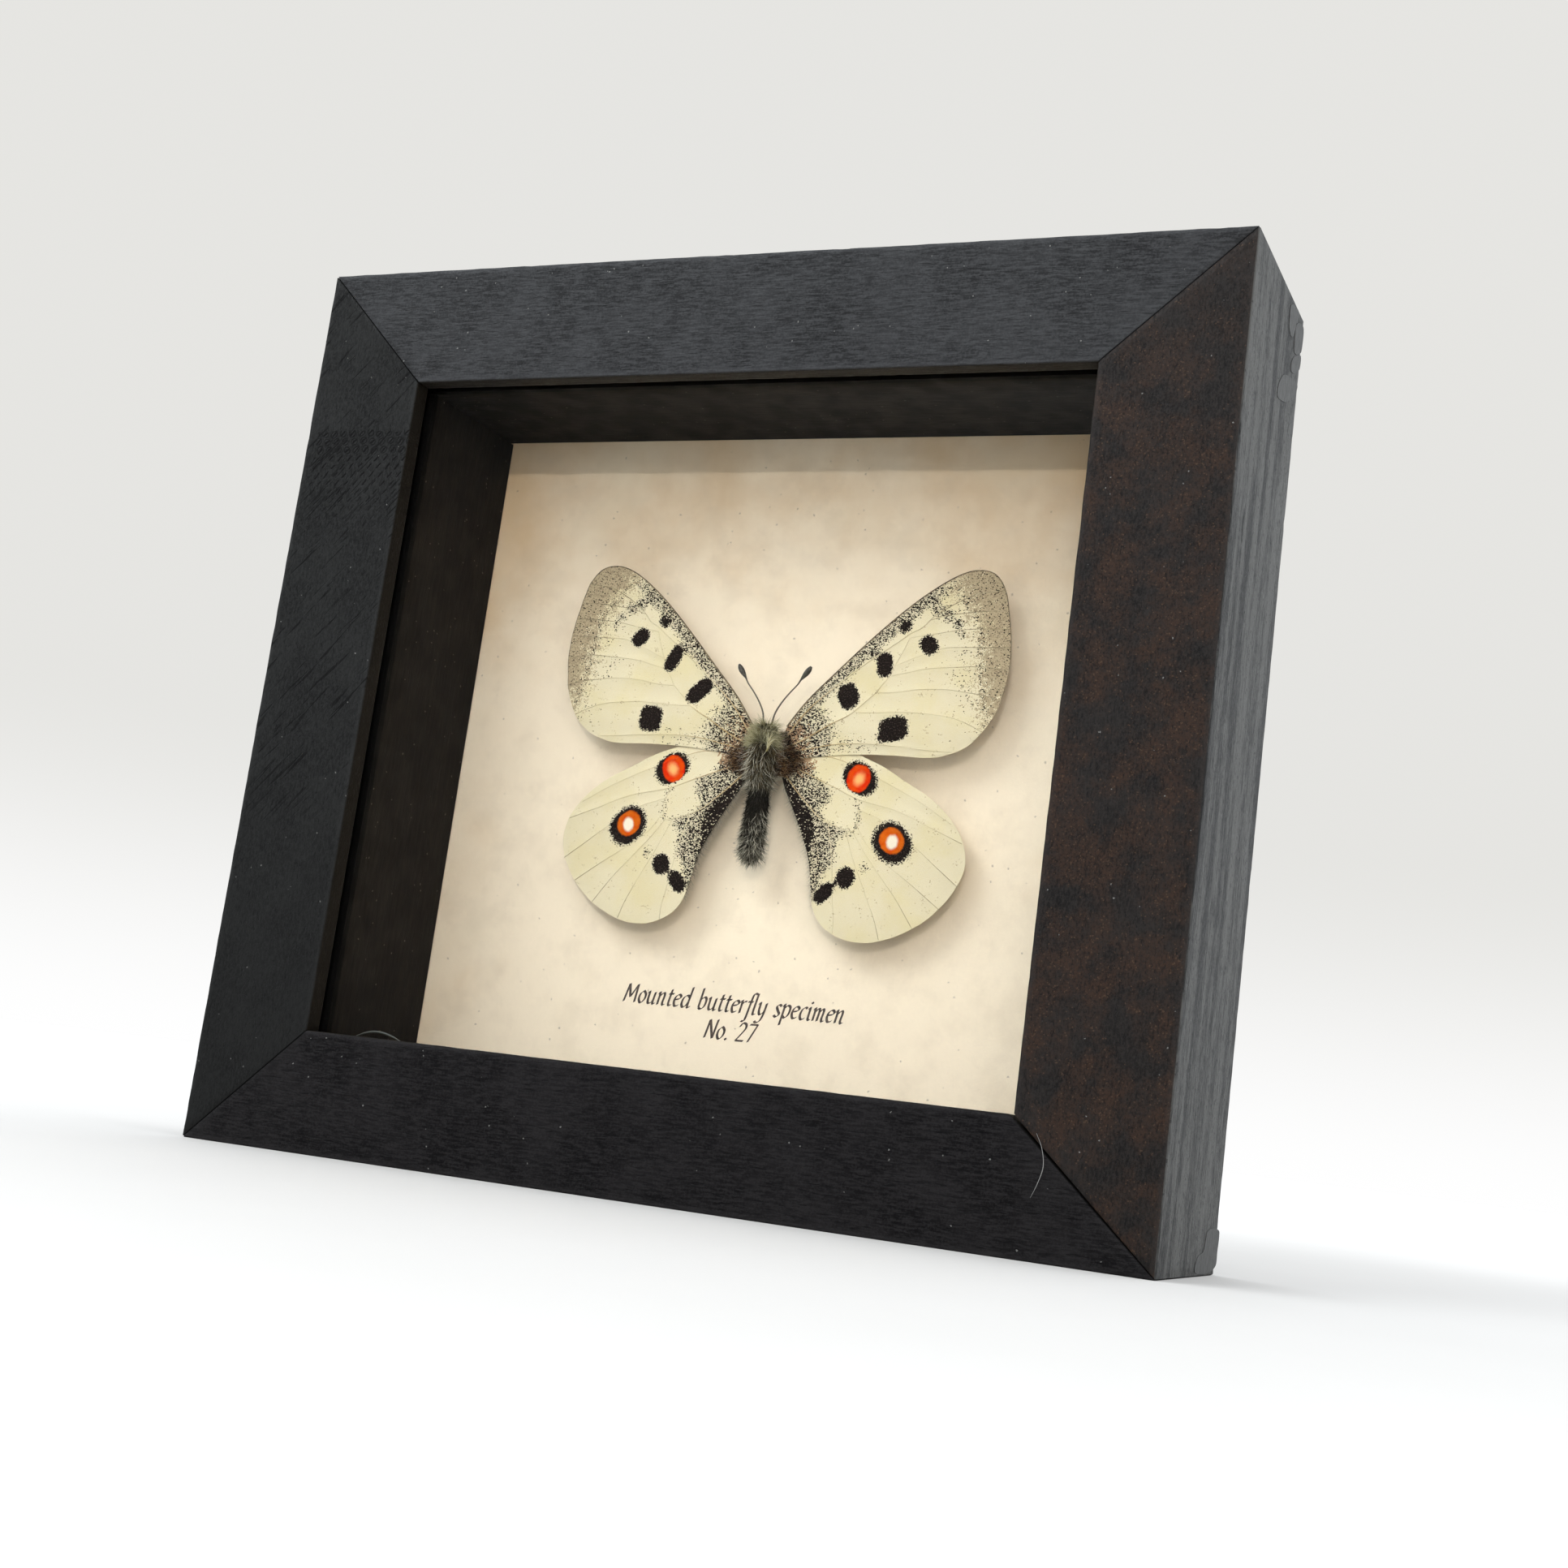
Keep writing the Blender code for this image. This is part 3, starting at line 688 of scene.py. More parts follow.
# %% Letters as pen strokes, one unit to the x-height
LETTERS = {
    "M": (1.2, [[(0, 0), (.15, 1.5)], [(.15, 1.5), (.5, .4)], [(.5, .4), (.95, 1.5)], [(.95, 1.5), (1, 0)]]),
    "N": (.98, [[(.05, 0), (.15, 1.5)], [(.15, 1.5), (.75, 0)], [(.75, 0), (.85, 1.55)]]),
    "b": (.76, [[(.12, 1.7), (.1, .15)], [(.1, .7), (.4, 1), (.62, .8), (.58, .25), (.3, 0), (.1, .12)]]),
    "c": (.58, [[(.52, .9), (.35, 1), (.1, .75), (.05, .3), (.22, 0), (.5, .12)]]),
    "d": (.86, [[(.62, .85), (.4, 1), (.1, .75), (.05, .25), (.25, 0), (.5, .2), (.62, .5)],
                [(.7, 1.7), (.62, .2), (.7, 0), (.85, .1)]]),
    "e": (.62, [[(.08, .55), (.45, .65), (.55, .85), (.35, 1), (.1, .8), (.03, .4), (.2, .03), (.5, .12)]]),
    "f": (.48, [[(.62, 1.62), (.45, 1.7), (.3, 1.5), (.22, .6), (.15, -.4), (.02, -.62), (-.15, -.6)],
                [(0, .98), (.45, 1)]]),
    "i": (.36, [[(0, .85), (.1, 1), (.1, .2), (.2, 0), (.32, .1)], [(.1, 1.46), (.2, 1.34)]]),
    "l": (.34, [[(.12, 1.7), (.08, .2), (.18, 0), (.3, .08)]]),
    "m": (1.12, [[(0, .85), (.1, 1), (.1, 0)], [(.1, .65), (.35, 1), (.48, .85), (.46, 0)],
                 [(.46, .65), (.72, 1), (.85, .85), (.82, .2), (.92, 0), (1.05, .1)]]),
    "n": (.82, [[(0, .85), (.1, 1), (.1, 0)],
                [(.1, .65), (.4, 1), (.55, .85), (.52, .2), (.62, 0), (.75, .1)]]),
    "o": (.68, [[(.35, 1), (.08, .75), (.05, .3), (.28, 0), (.55, .3), (.58, .72), (.35, 1), (.3, .98)]]),
    "p": (.76, [[(0, .85), (.1, 1), (.08, -.62)],
                [(.1, .7), (.35, 1), (.62, .85), (.6, .3), (.35, 0), (.1, .15)]]),
    "r": (.52, [[(0, .85), (.1, 1), (.1, 0)], [(.1, .7), (.3, .95), (.5, .98)]]),
    "s": (.56, [[(.5, .88), (.3, 1), (.1, .82), (.28, .5), (.45, .25), (.25, 0), (0, .12)]]),
    "t": (.5, [[(.2, 1.35), (.15, .3), (.25, .02), (.45, .1)], [(0, .98), (.45, 1)]]),
    "u": (.88, [[(0, .85), (.1, 1), (.12, .3), (.25, .02), (.5, .15), (.62, .4)],
                [(.64, 1), (.6, .2), (.68, 0), (.82, .12)]]),
    "y": (.8, [[(0, .85), (.1, 1), (.13, .35), (.28, .05), (.55, .25), (.62, .5)],
               [(.65, 1), (.6, .1), (.45, -.45), (.15, -.62), (-.02, -.5)]]),
    "2": (.8, [[(.05, 1.15), (.25, 1.48), (.55, 1.4), (.6, 1.05), (.3, .5), (0, .03)],
               [(0, .03), (.7, .05)]]),
    "7": (.72, [[(0, 1.42), (.68, 1.45)], [(.68, 1.45), (.2, 0)]]),
    ".": (.3, [[(.05, .12), (.16, 0)]]),
    " ": (.5, []),
}
LINES = [("Mounted butterfly specimen", -1.35, 31.1), ("No. 27", -1.1, 26.5)]
X_HEIGHT, LETTER_GAP, SLOPE = 2.05, 0.1, 0.2
NIB_WIDTH, NIB_THICKNESS, NIB_SLANT = 0.16, 0.06, math.radians(38)
INK_LIFT = 0.02


# %% Widen strokes with the nib and join them
def round_about(corners):
    """The corners in anticlockwise order, as the triangulation needs them."""
    middle = np.mean(corners, axis=0)
    return sorted(corners, key=lambda corner: math.atan2(corner[1] - middle[1], corner[0] - middle[0]))


def stroke_quads(path):
    path = smooth_path(path, 8) if len(path) > 2 else np.array(path, float)
    way = np.gradient(path, axis=0)
    way /= np.linalg.norm(way, axis=1)[:, None]
    side = np.stack([-way[:, 1], way[:, 0]], axis=1)
    nib = np.array([math.cos(NIB_SLANT), math.sin(NIB_SLANT)]) * NIB_WIDTH / 2
    reach = np.where(side @ nib >= 0, 1, -1)[:, None] * nib + side * NIB_THICKNESS / 2
    left, right = path + reach, path - reach
    return [round_about([left[i], right[i], right[i + 1], left[i + 1]]) for i in range(len(path) - 1)]


quads = []
for words, centre, baseline in LINES:
    total = sum(LETTERS[c][0] + LETTER_GAP for c in words) * X_HEIGHT
    cursor = centre - total / 2
    for letter in words:
        advance, strokes = LETTERS[letter]
        for quad in [q for stroke in strokes for q in stroke_quads(stroke)]:
            quads.append([(cursor + (x + SLOPE * y) * X_HEIGHT, baseline + y * X_HEIGHT) for x, y in quad])
        cursor += (advance + LETTER_GAP) * X_HEIGHT
corners = [Vector(corner) for quad in quads for corner in quad]
loops = [list(range(4 * i, 4 * i + 4)) for i in range(len(quads))]
joined = delaunay_2d_cdt(corners, [], loops, 1, 1e-5)
sheet_faces = [f for f, parents in zip(joined[2], joined[5]) if parents]

# %% The ink
ink, tree, shader = finish("printed_ink", Roughness=0.6)
faded = cloud(tree, place_mm(tree), 0.5, detail=2.0)
tint(tree, shader, mixed(tree, fade(tree, faded, 0.35, 0.7), (0.03, 0.018, 0.014), (0.09, 0.06, 0.045)))
lettering = mesh_object("card_lettering", [(p.x, CARD_FACE - INK_LIFT, p.y) for p in joined[0]],
                        sheet_faces, ink, False)


def face_the_front(shape):
    """Turn every letter to the front, and drop corners that no face uses."""
    for face in shape.faces:
        if face.normal.y > 0:
            face.normal_flip()
    bmesh.ops.delete(shape, geom=[v for v in shape.verts if not v.link_faces], context="VERTS")


worked(lettering, face_the_front)
keep(lettering, "cream_card")

# %% [markdown]
# ## The wings
# A wing is a thin bowed sheet. Veins run through it like the ribs of a fan, and the sheet sinks a little
# between them. One flat outline could be filled with a single face, but then nothing could bow. So the
# outline is filled with an even net of points, triangulated, and each point is then lifted by the bow, the
# veins and the sag.

# %% Outlines and veins, outwards from the body's axis and up from the wing roots
FOREWING = [
    (3.0, 1.2), (3.2, 4.0), (6.5, 8.5), (11.5, 13.8), (17.0, 19.5), (22.0, 24.3), (26.5, 28.0),
    (30.5, 30.5), (33.8, 31.4), (36.8, 30.7), (38.8, 28.0), (39.9, 24.0), (40.8, 19.0), (40.9, 14.0),
    (40.0, 9.0), (38.2, 5.2), (35.5, 2.2), (32.0, 0.5), (28.5, -0.1), (22.0, 0.0), (15.0, -0.2),
    (9.0, -0.8), (3.6, -1.2),
]
HINDWING = [
    (2.9, -2.2), (5.0, -0.4), (9.0, 0.9), (14.0, 0.8), (18.0, -0.6), (21.5, -2.0), (25.5, -4.2), (29.5, -6.3),
    (33.0, -9.0), (35.8, -12.4), (37.0, -16.0), (36.6, -19.2), (34.8, -22.6), (32.0, -25.8), (28.5, -28.3),
    (24.0, -30.2), (20.0, -30.7), (16.5, -30.0), (13.6, -28.3), (11.9, -25.8), (11.1, -22.5), (10.0, -17.8),
    (8.2, -13.8), (5.8, -9.4), (3.6, -5.6),
]
# Each vein: half thickness at its root and at its end, then its points
FOREWING_VEINS = [
    (0.16, 0.09, [(3.2, 2.0), (4.9, 4.4), (6.6, 6.6), (8.7, 8.7), (11.4, 11.0), (14.3, 13.5), (16.5, 15.2),
                  (19.2, 17.2), (21.7, 19.0), (23.5, 20.4), (25.2, 21.3), (26.5, 22.7), (27.8, 23.9),
                  (31.0, 25.9), (34.3, 27.4), (38.7, 28.0)]),
    (0.09, 0.07, [(26.5, 22.7), (29.0, 23.5), (31.8, 24.0), (35.5, 24.5), (39.7, 24.6)]),
    (0.07, 0.07, [(23.4, 19.6), (28.2, 20.5), (30.8, 21.0), (34.8, 21.5), (40.2, 21.6)]),
    (0.07, 0.07, [(21.2, 14.7), (23.0, 15.5), (25.8, 16.7), (29.4, 18.0), (32.6, 18.3), (40.8, 18.6)]),
    (0.08, 0.07, [(21.0, 13.1), (24.1, 13.8), (27.0, 14.5), (31.5, 14.9), (36.7, 15.2), (40.9, 14.6)]),
    (0.08, 0.07, [(18.7, 10.2), (21.9, 10.3), (26.0, 11.0), (30.6, 11.2), (34.4, 10.8), (37.3, 10.5),
                  (40.2, 9.7)]),
    (0.08, 0.07, [(15.3, 6.8), (18.8, 6.8), (23.8, 7.1), (28.2, 7.0), (32.0, 6.6), (35.0, 5.7), (37.6, 4.5)]),
    (0.17, 0.08, [(3.2, 0.5), (4.9, 1.2), (8.0, 2.7), (11.4, 4.7), (14.4, 6.3), (16.8, 8.4), (18.7, 10.2),
                  (19.7, 11.7), (20.4, 12.6), (21.4, 14.7), (22.6, 17.4), (23.4, 19.6)]),
    (0.13, 0.06, [(3.6, -0.2), (8.3, 0.6), (12.7, 1.4), (17.7, 1.7), (23.1, 1.5), (29.0, 1.1), (32.7, 1.0)]),
]
HINDWING_VEINS = [
    (0.13, 0.06, [(3.4, -2.6), (6.5, -3.2), (12.5, -5.5), (18.0, -7.6), (24.5, -9.0), (30.6, -11.4),
                  (36.2, -13.6)]),
    (0.11, 0.06, [(3.2, -1.8), (8.0, -0.7), (13.0, -1.0), (20.0, -3.6), (28.0, -7.2), (34.0, -10.6)]),
    (0.07, 0.06, [(17.8, -9.2), (22.8, -11.0), (28.0, -14.4), (32.0, -17.4), (36.2, -20.5)]),
    (0.07, 0.06, [(18.0, -12.0), (20.6, -15.4), (24.5, -18.2), (28.8, -21.0), (33.5, -24.3)]),
    (0.07, 0.06, [(17.4, -13.0), (20.0, -16.4), (23.0, -19.8), (26.2, -23.4), (29.4, -27.7)]),
    (0.07, 0.06, [(16.0, -12.8), (18.0, -17.4), (20.8, -22.8), (22.8, -26.8), (24.0, -30.0)]),
    (0.08, 0.06, [(12.8, -11.9), (14.2, -17.5), (15.3, -24.5), (15.8, -27.3), (15.9, -29.6)]),
    (0.14, 0.07, [(3.4, -3.6), (6.0, -6.4), (8.6, -8.8), (11.0, -10.8), (14.5, -12.2), (17.2, -12.8),
                  (18.0, -11.0), (17.8, -9.2), (16.8, -7.4)]),
]
WING_PLACES = {
    "forewing": (FOREWING, FOREWING_VEINS, FOREWING_DEPTH),
    "hindwing": (HINDWING, HINDWING_VEINS, HINDWING_DEPTH),
}
NET_STEP = 0.5
SHEET = 0.1
SAG, SAG_REACH = 0.16, 1.2
RIDGE, RIDGE_REACH = 0.05, 0.35
DROOP, DROOP_TOP = 0.55, 4.5


# %% The surface that wings and veins share
def wing_back(spots, behind, veins, lift=0.0):
    """Y of a wing's front: bowed, raised on its veins, sunk between them, and low at the forewing's rear."""
    spots = np.asarray(spots, float)
    reach = np.minimum(1.0, np.hypot(spots[:, 0], spots[:, 1]) / REACH)
    near = np.min([distance(spots, smooth_path(path, 6)) for _, _, path in veins], axis=0)
    sag = SAG * (1 - np.exp(-near / SAG_REACH)) - RIDGE * np.exp(-(near / RIDGE_REACH) ** 2)
    droop = DROOP * (behind == FOREWING_DEPTH) * (1 - ease(spots[:, 1], 0.0, DROOP_TOP))
    return depth(behind - CAMBER * np.sin(math.pi * reach)) + sag + droop - lift


def even_rim(outline, step):
    """An outline's smooth curve, cut into equal steps."""
    curve = smooth_path(outline, 14, closed=True)
    curve = np.vstack([curve, curve[:1]])
    run = np.concatenate([[0], np.cumsum(np.linalg.norm(np.diff(curve, axis=0), axis=1))])
    count = int(run[-1] / step)
    marks = np.linspace(0, run[-1], count, endpoint=False)
    return np.stack([np.interp(marks, run, curve[:, i]) for i in (0, 1)], axis=1)


def wing_net(outline, step):
    """Points and triangles that fill an outline evenly."""
    rim = even_rim(outline, step)
    low, high = rim.min(0), rim.max(0)
    rows = np.arange(low[1], high[1], step * 0.866)
    net = [(x + step / 2 * (i % 2), y) for i, y in enumerate(rows) for x in np.arange(low[0], high[0], step)]
    net = np.array(net)
    closed = np.vstack([rim, rim[:1]])
    net = net[inside(net, rim) & (distance(net, closed) > step * 0.6)]
    points = [Vector(p) for p in np.vstack([rim, net])]
    loop = [(i, (i + 1) % len(rim)) for i in range(len(rim))]
    result = delaunay_2d_cdt(points, loop, [], 1, 1e-5)
    return np.array([(p.x, p.y) for p in result[0]]), result[2], len(rim)


# %% [markdown]
# ## The scales' colours
# A wing's colour is a mosaic of scales, each one plain: cream, black, red or brown. Greys are black scales
# thinly strewn over pale ones, and the grey border of the forewing is bare, half-clear skin. So the pattern
# is a share of dark scales for every place, which the speck effect then turns into single scales. Broad
# dusky areas are worked out here for each point of the mesh, and the crisp spots are ovals in the finish
# itself.

# %% Dusky areas of the forewing
COSTA = smooth_path(FOREWING[1:9], 4)
GREY_BORDER = np.array([(29.0, 31.5), (29.6, 29.0), (31.6, 26.8), (33.6, 24.6), (35.2, 21.6), (35.8, 18.5),
                        (36.1, 15.2), (36.9, 11.5), (37.4, 8.6), (38.4, 6.2), (44.0, 5.0), (46.0, 20.0),
                        (40.0, 36.0), (30.0, 36.0)])
SMUDGES = [(17.5, 16.9, 1.3, 0.75), (26.4, 26.0, 1.5, 0.6), (27.8, 24.6, 1.5, 0.45), (29.6, 23.6, 1.3, 0.5),
           (31.4, 22.2, 1.1, 0.5), (32.3, 20.6, 0.9, 0.3), (31.6, 13.6, 1.0, 0.12), (33.0, 11.6, 1.2, 0.1),
           (33.6, 17.5, 1.2, 0.1), (28.0, 27.6, 1.3, 0.35)]


def forewing_shares(spots):
    out, up = spots[:, 0], spots[:, 1]
    near = distance(spots, COSTA)
    dusk = 0.5 * (1 - ease(near, 1.6, 2.9)) * (1 - ease(out, 26, 31))
    from_root = np.hypot(out - 3.0, (up - 1.5) * 1.15)
    dusk = np.maximum(dusk, 0.5 * (1 - ease(from_root, 7.0, 10.5)))
    hem = 0.16 * (1 - ease(np.abs(up - 1.0 - 0.02 * out), 0.2, 2.6)) * (1 - ease(out, 10, 24))
    dusk = np.maximum(dusk, hem)
    for x, y, size, share in SMUDGES:
        dusk = np.maximum(dusk, share * (1 - ease(np.hypot(out - x, up - y), size * 0.4, size * 1.25)))
    border = within(spots, GREY_BORDER, 9.0)
    seam = np.exp(-(distance(spots, GREY_BORDER[:10]) / 0.8) ** 2)
    dusk = np.maximum(dusk, 0.2 * seam)
    dusk = np.maximum(dusk, 0.1 * within(spots, GREY_BORDER, 16.0))
    return dusk, border, 1 - ease(np.hypot(out - 2.5, up - 0.3), 3.0, 7.5)


# %% Dusky areas of the hindwing
DARK_BAND = np.array([(1.0, -3.6), (4.2, -4.2), (6.0, -5.6), (8.2, -8.2), (10.4, -10.9), (10.8, -13.5),
                      (10.4, -16.5), (10.8, -19.5), (10.2, -21.0), (6.0, -21.0), (1.0, -8.0)])
DUSTED = np.array([(1.0, -1.6), (6.0, -1.9), (8.6, -2.4), (9.3, -4.4), (12.0, -5.6), (12.4, -7.4),
                   (10.9, -9.6), (12.2, -11.4), (14.6, -12.4), (16.4, -12.9), (14.5, -14.6), (14.3, -18.4),
                   (12.6, -20.8), (12.4, -23.4), (10.8, -24.8), (7.0, -24.0), (1.0, -8.0)])
CELL_END = np.array([(14.0, -12.1), (17.2, -12.9), (18.0, -11.2), (17.8, -9.0), (17.0, -7.4)])


def hindwing_shares(spots):
    out, up = spots[:, 0], spots[:, 1]
    dusk = np.maximum(0.94 * within(spots, DARK_BAND, 1.6), 0.56 * within(spots, DUSTED, 1.9))
    dusk = np.maximum(dusk, 0.22 * np.exp(-(distance(spots, CELL_END) / 0.5) ** 2))
    dusk = np.maximum(dusk, 0.28 * (1 - ease(np.hypot(out - 19.95, up + 18.65), 0.4, 1.3)))
    rust = 1 - ease(np.hypot(out - 6.6, (up + 2.2) * 1.3), 1.6, 3.4)
    return dusk, np.zeros(len(spots)), rust


# %% [markdown]
# The spots: on each forewing two small marks near the tip, two bars in the cell and one square; on each
# hindwing two red-and-white eyes ringed in black, and a pair of joined marks by the inner edge. The two
# sides of a real butterfly match only roughly, so a spot may belong to one side.

# %% Tables of the spots: side, outwards, up, half length, half width, slant, corner, fray, share
FOREWING_SPOTS = [
    (0, 22.4, 21.6, 1.25, 1.1, 60, 2.0, 0.32, 0.95), (0, 26.85, 18.5, 1.75, 1.4, -50, 2.6, 0.2, 1.0),
    (-1, 19.6, 14.95, 2.55, 1.3, -66, 2.4, 0.16, 1.0), (1, 19.6, 14.95, 2.15, 1.45, -84, 2.6, 0.16, 1.0),
    (-1, 13.8, 9.45, 2.75, 1.5, -42, 2.6, 0.13, 1.0), (1, 13.8, 9.45, 2.2, 1.85, -62, 2.6, 0.13, 1.0),
    (-1, 22.5, 4.3, 2.15, 2.15, 4, 3.8, 0.12, 1.0), (1, 22.5, 4.3, 2.5, 2.0, 16, 3.4, 0.12, 1.0),
    (1, 21.0, 2.9, 1.2, 0.9, 20, 2.2, 0.3, 1.0),
]
HINDWING_SPOTS = [
    (0, 17.4, -4.0, 3.3, 2.5, -33, 2.2, 0.14, 1.0), (0, 24.35, -14.25, 3.65, 3.05, -42, 2.2, 0.15, 1.0),
    (0, 16.95, -20.45, 1.75, 1.6, 70, 2.4, 0.16, 1.0), (0, 13.5, -23.2, 2.0, 1.3, 48, 2.4, 0.2, 1.0),
    (0, 14.9, -21.9, 1.0, 0.5, 42, 2.0, 0.4, 0.85),
]


def wing_place(tree):
    """Places on the wings as seen from the front: outwards with a sign, and up, from the wing roots."""
    parts = axes(tree, place_mm(tree))
    joined = tree.nodes.new("ShaderNodeCombineXYZ")
    feed(tree, joined.inputs[0], calc(tree, "SUBTRACT", parts[0], AXIS_X))
    feed(tree, joined.inputs[1], calc(tree, "SUBTRACT", parts[2], ROOT_Z))
    return joined.outputs[0]


def shaken(tree, place, size, amount):
    """The place, pushed about by noise, so that a shape drawn there frays."""
    node = tree.nodes.new("ShaderNodeTexNoise")
    feed(tree, node.inputs["Vector"], place)
    feed(tree, node.inputs["Scale"], 1 / size)
    push = vcalc(tree, "SUBTRACT", node.outputs["Color"], (0.5, 0.5, 0.5))
    push = vcalc(tree, "MULTIPLY", push, (amount, amount, 0.0))
    return vcalc(tree, "ADD", place, push)


def folded(tree, place):
    """The place with both sides laid on each other."""
    return vcalc(tree, "MAXIMUM", vcalc(tree, "MULTIPLY", place, (-1, 1, 1)), place)


def spot(tree, place, both, side, out, up, length, width, slant, corner, fray):
    sign = side or 1
    return use(tree, oval, Place=place if side else both, Middle=(sign * out, up, 0.0),
               Half_Size=(length, width, 1.0), Slant=-sign * math.radians(slant), Corner=corner,
               Fray=fray)["Share"]


# %% Finish: scaled wings
CREAM, OCHRE, BLACK_SCALE = (0.68, 0.61, 0.43), (0.65, 0.57, 0.34), (0.008, 0.005, 0.004)
SKIN, DARK_SKIN = (0.43, 0.35, 0.225), (0.235, 0.18, 0.115)
RUST_SCALE, GREY_SCALE = (0.26, 0.13, 0.06), (0.5, 0.45, 0.34)
# A wing is thin enough to let some light through, so its shadow on the card is faint
SHADE_OF_A_WING = 0.6


def wing_scales(name, spots):
    """Pale scales, bare skin, rust scales and black scales, as a tone that more can be laid over."""
    material, tree, shader = finish(name, Roughness=0.75, IOR=1.4, Specular_IOR_Level=0.08)
    flat = wing_place(tree)
    frayed = shaken(tree, flat, 0.3, 1.3)
    both = folded(tree, frayed)
    share = attribute(tree, "dusk")
    for row in spots:
        mark = spot(tree, frayed, both, *row[:8])
        share = calc(tree, "MAXIMUM", share, times(tree, mark, row[8]))
    tone = mixed(tree, fade(tree, cloud(tree, flat, 8.0, detail=3.0), 0.4, 0.7, 0.0, 0.7), CREAM, OCHRE)
    single = use(tree, specks, Place=vcalc(tree, "MULTIPLY", flat, (0.8, 1.15, 1.0)), Share=share, Size=0.16)
    tone = mixed(tree, fade(tree, single["Chance"], 0.0, 1.0, 0.0, 0.2), tone, (0.95, 0.88, 0.72), "MULTIPLY")
    tone = mixed(tree, fade(tree, share, 0.05, 0.6, 0.0, 0.6), tone, GREY_SCALE)
    uneven = calc(tree, "SUBTRACT", cloud(tree, flat, 1.6, detail=4.0), 0.5)
    patchy = calc(tree, "MULTIPLY_ADD", uneven, 1.4, attribute(tree, "bare"))
    crumb = use(tree, specks, Place=flat, Share=0.5, Size=0.16)["Chance"]
    lost = calc(tree, "LESS_THAN", crumb, fade(tree, patchy, 0.02, 0.9))
    skin = mixed(tree, times(tree, crumb, crumb), SKIN, DARK_SKIN)
    tone = mixed(tree, lost, tone, skin)
    rust = calc(tree, "LESS_THAN", use(tree, specks, Place=flat, Share=0.5, Size=0.3)["Chance"],
                times(tree, attribute(tree, "rust"), 0.75))
    tone = mixed(tree, times(tree, rust, 0.8), tone, RUST_SCALE)
    dark = mixed(tree, fade(tree, cloud(tree, flat, 0.25), 0.5, 0.75), BLACK_SCALE, (0.05, 0.035, 0.028))
    tone = mixed(tree, single["Speck"], tone, dark)
    fine = cloud(tree, vcalc(tree, "MULTIPLY", flat, (0.5, 1.0, 1.0)), 0.16, detail=2.0)
    relief(tree, shader, fine, 0.02)
    shaded = tree.nodes.new("ShaderNodeLightPath").outputs["Is Shadow Ray"]
    feed(tree, shader.inputs["Alpha"], fade(tree, shaded, 0.0, 1.0, 1.0, SHADE_OF_A_WING))
    return material, tree, shader, tone


forewing_finish, tree, shader, tone = wing_scales("forewing_scales", FOREWING_SPOTS)
tint(tree, shader, tone)

# %% [markdown]
# An eyespot is laid over its black ring: a scarlet or orange iris, and a white pupil that melts into it.
# The upper one is scarlet with a faint pupil, the lower one orange with a clear white one.

# %% Finish: the hindwing's eyespots
EYES = [
    ((17.15, -4.05, 2.3, 2.05, 70), (17.25, -4.1, 1.0, 0.8, 60, 0.7),
     (0.6, 0.016, 0.0), (0.62, 0.055, 0.0), (0.85, 0.4, 0.14)),
    ((24.25, -13.9, 2.25, 2.0, -40), (24.35, -14.1, 1.15, 0.95, 80, 0.3),
     (0.56, 0.11, 0.004), (0.5, 0.06, 0.0), (0.8, 0.72, 0.57)),
]


def eyed_scales(name):
    material, tree, shader, tone = wing_scales(name, HINDWING_SPOTS)
    gentle = folded(tree, shaken(tree, wing_place(tree), 0.6, 0.35))
    for iris, pupil, scarlet, ember, white in EYES:
        mask = spot(tree, gentle, gentle, 0, *iris, 2.1, 0.09)
        glow = cloud(tree, gentle, 1.4, detail=2.0)
        tone = mixed(tree, mask, tone, mixed(tree, fade(tree, glow, 0.35, 0.65), scarlet, ember))
        tone = mixed(tree, spot(tree, gentle, gentle, 0, *pupil[:5], 2.0, pupil[5]), tone, white)
    return material, tree, shader, tone


hindwing_finish, tree, shader, tone = eyed_scales("hindwing_scales")
tint(tree, shader, tone)

# %% [markdown]
# Now the four sheets themselves. Front and back are the same net, a tenth of a millimetre apart, joined by
# a narrow rim.


# %% Build the wings
def wing(name, side, behind, outline, veins, shares, material):
    spots, triangles, rim = wing_net(outline, NET_STEP)
    front = wing_back(spots, behind, veins)
    points = [(AXIS_X + side * out, y, ROOT_Z + up) for (out, up), y in zip(spots, front)]
    points += [(x, y + SHEET, z) for x, y, z in points]
    count = len(spots)
    faces = [tuple(f) for f in triangles] + [tuple(i + count for i in reversed(f)) for f in triangles]
    faces += [(i, (i + 1) % rim, (i + 1) % rim + count, i + count) for i in range(rim)]
    piece = mesh_object(name, points, faces, material)
    worked(piece, face_outwards)
    piece.data.set_sharp_from_angle(angle=math.radians(60))
    for label, values in zip(("dusk", "bare", "rust"), shares(spots)):
        paint(piece, label, np.concatenate([values, values]))
    return piece


WING_LOOKS = {"forewing": (forewing_shares, forewing_finish), "hindwing": (hindwing_shares, hindwing_finish)}
SIDES = (("left", -1), ("right", 1))
for kind, (outline, veins, behind) in WING_PLACES.items():
    shares, material = WING_LOOKS[kind]
    for side_name, side in SIDES:
        name = f"{kind}_{side_name}"
        keep(wing(f"{kind}_sheet_{side_name}", side, behind, outline, veins, shares, material),
             "cream_wing", name)

# %% [markdown]
# ## The veins
# A vein is a thin tube half sunk in the sheet, thick at the root and fine at the rim. The front edge of the
# forewing is the strongest of them and runs on round the tip. They all follow paths, so one geometry-nodes
# tree makes them: edges become curves, and a small round profile is swept along them, as wide as the stored
# girth says.


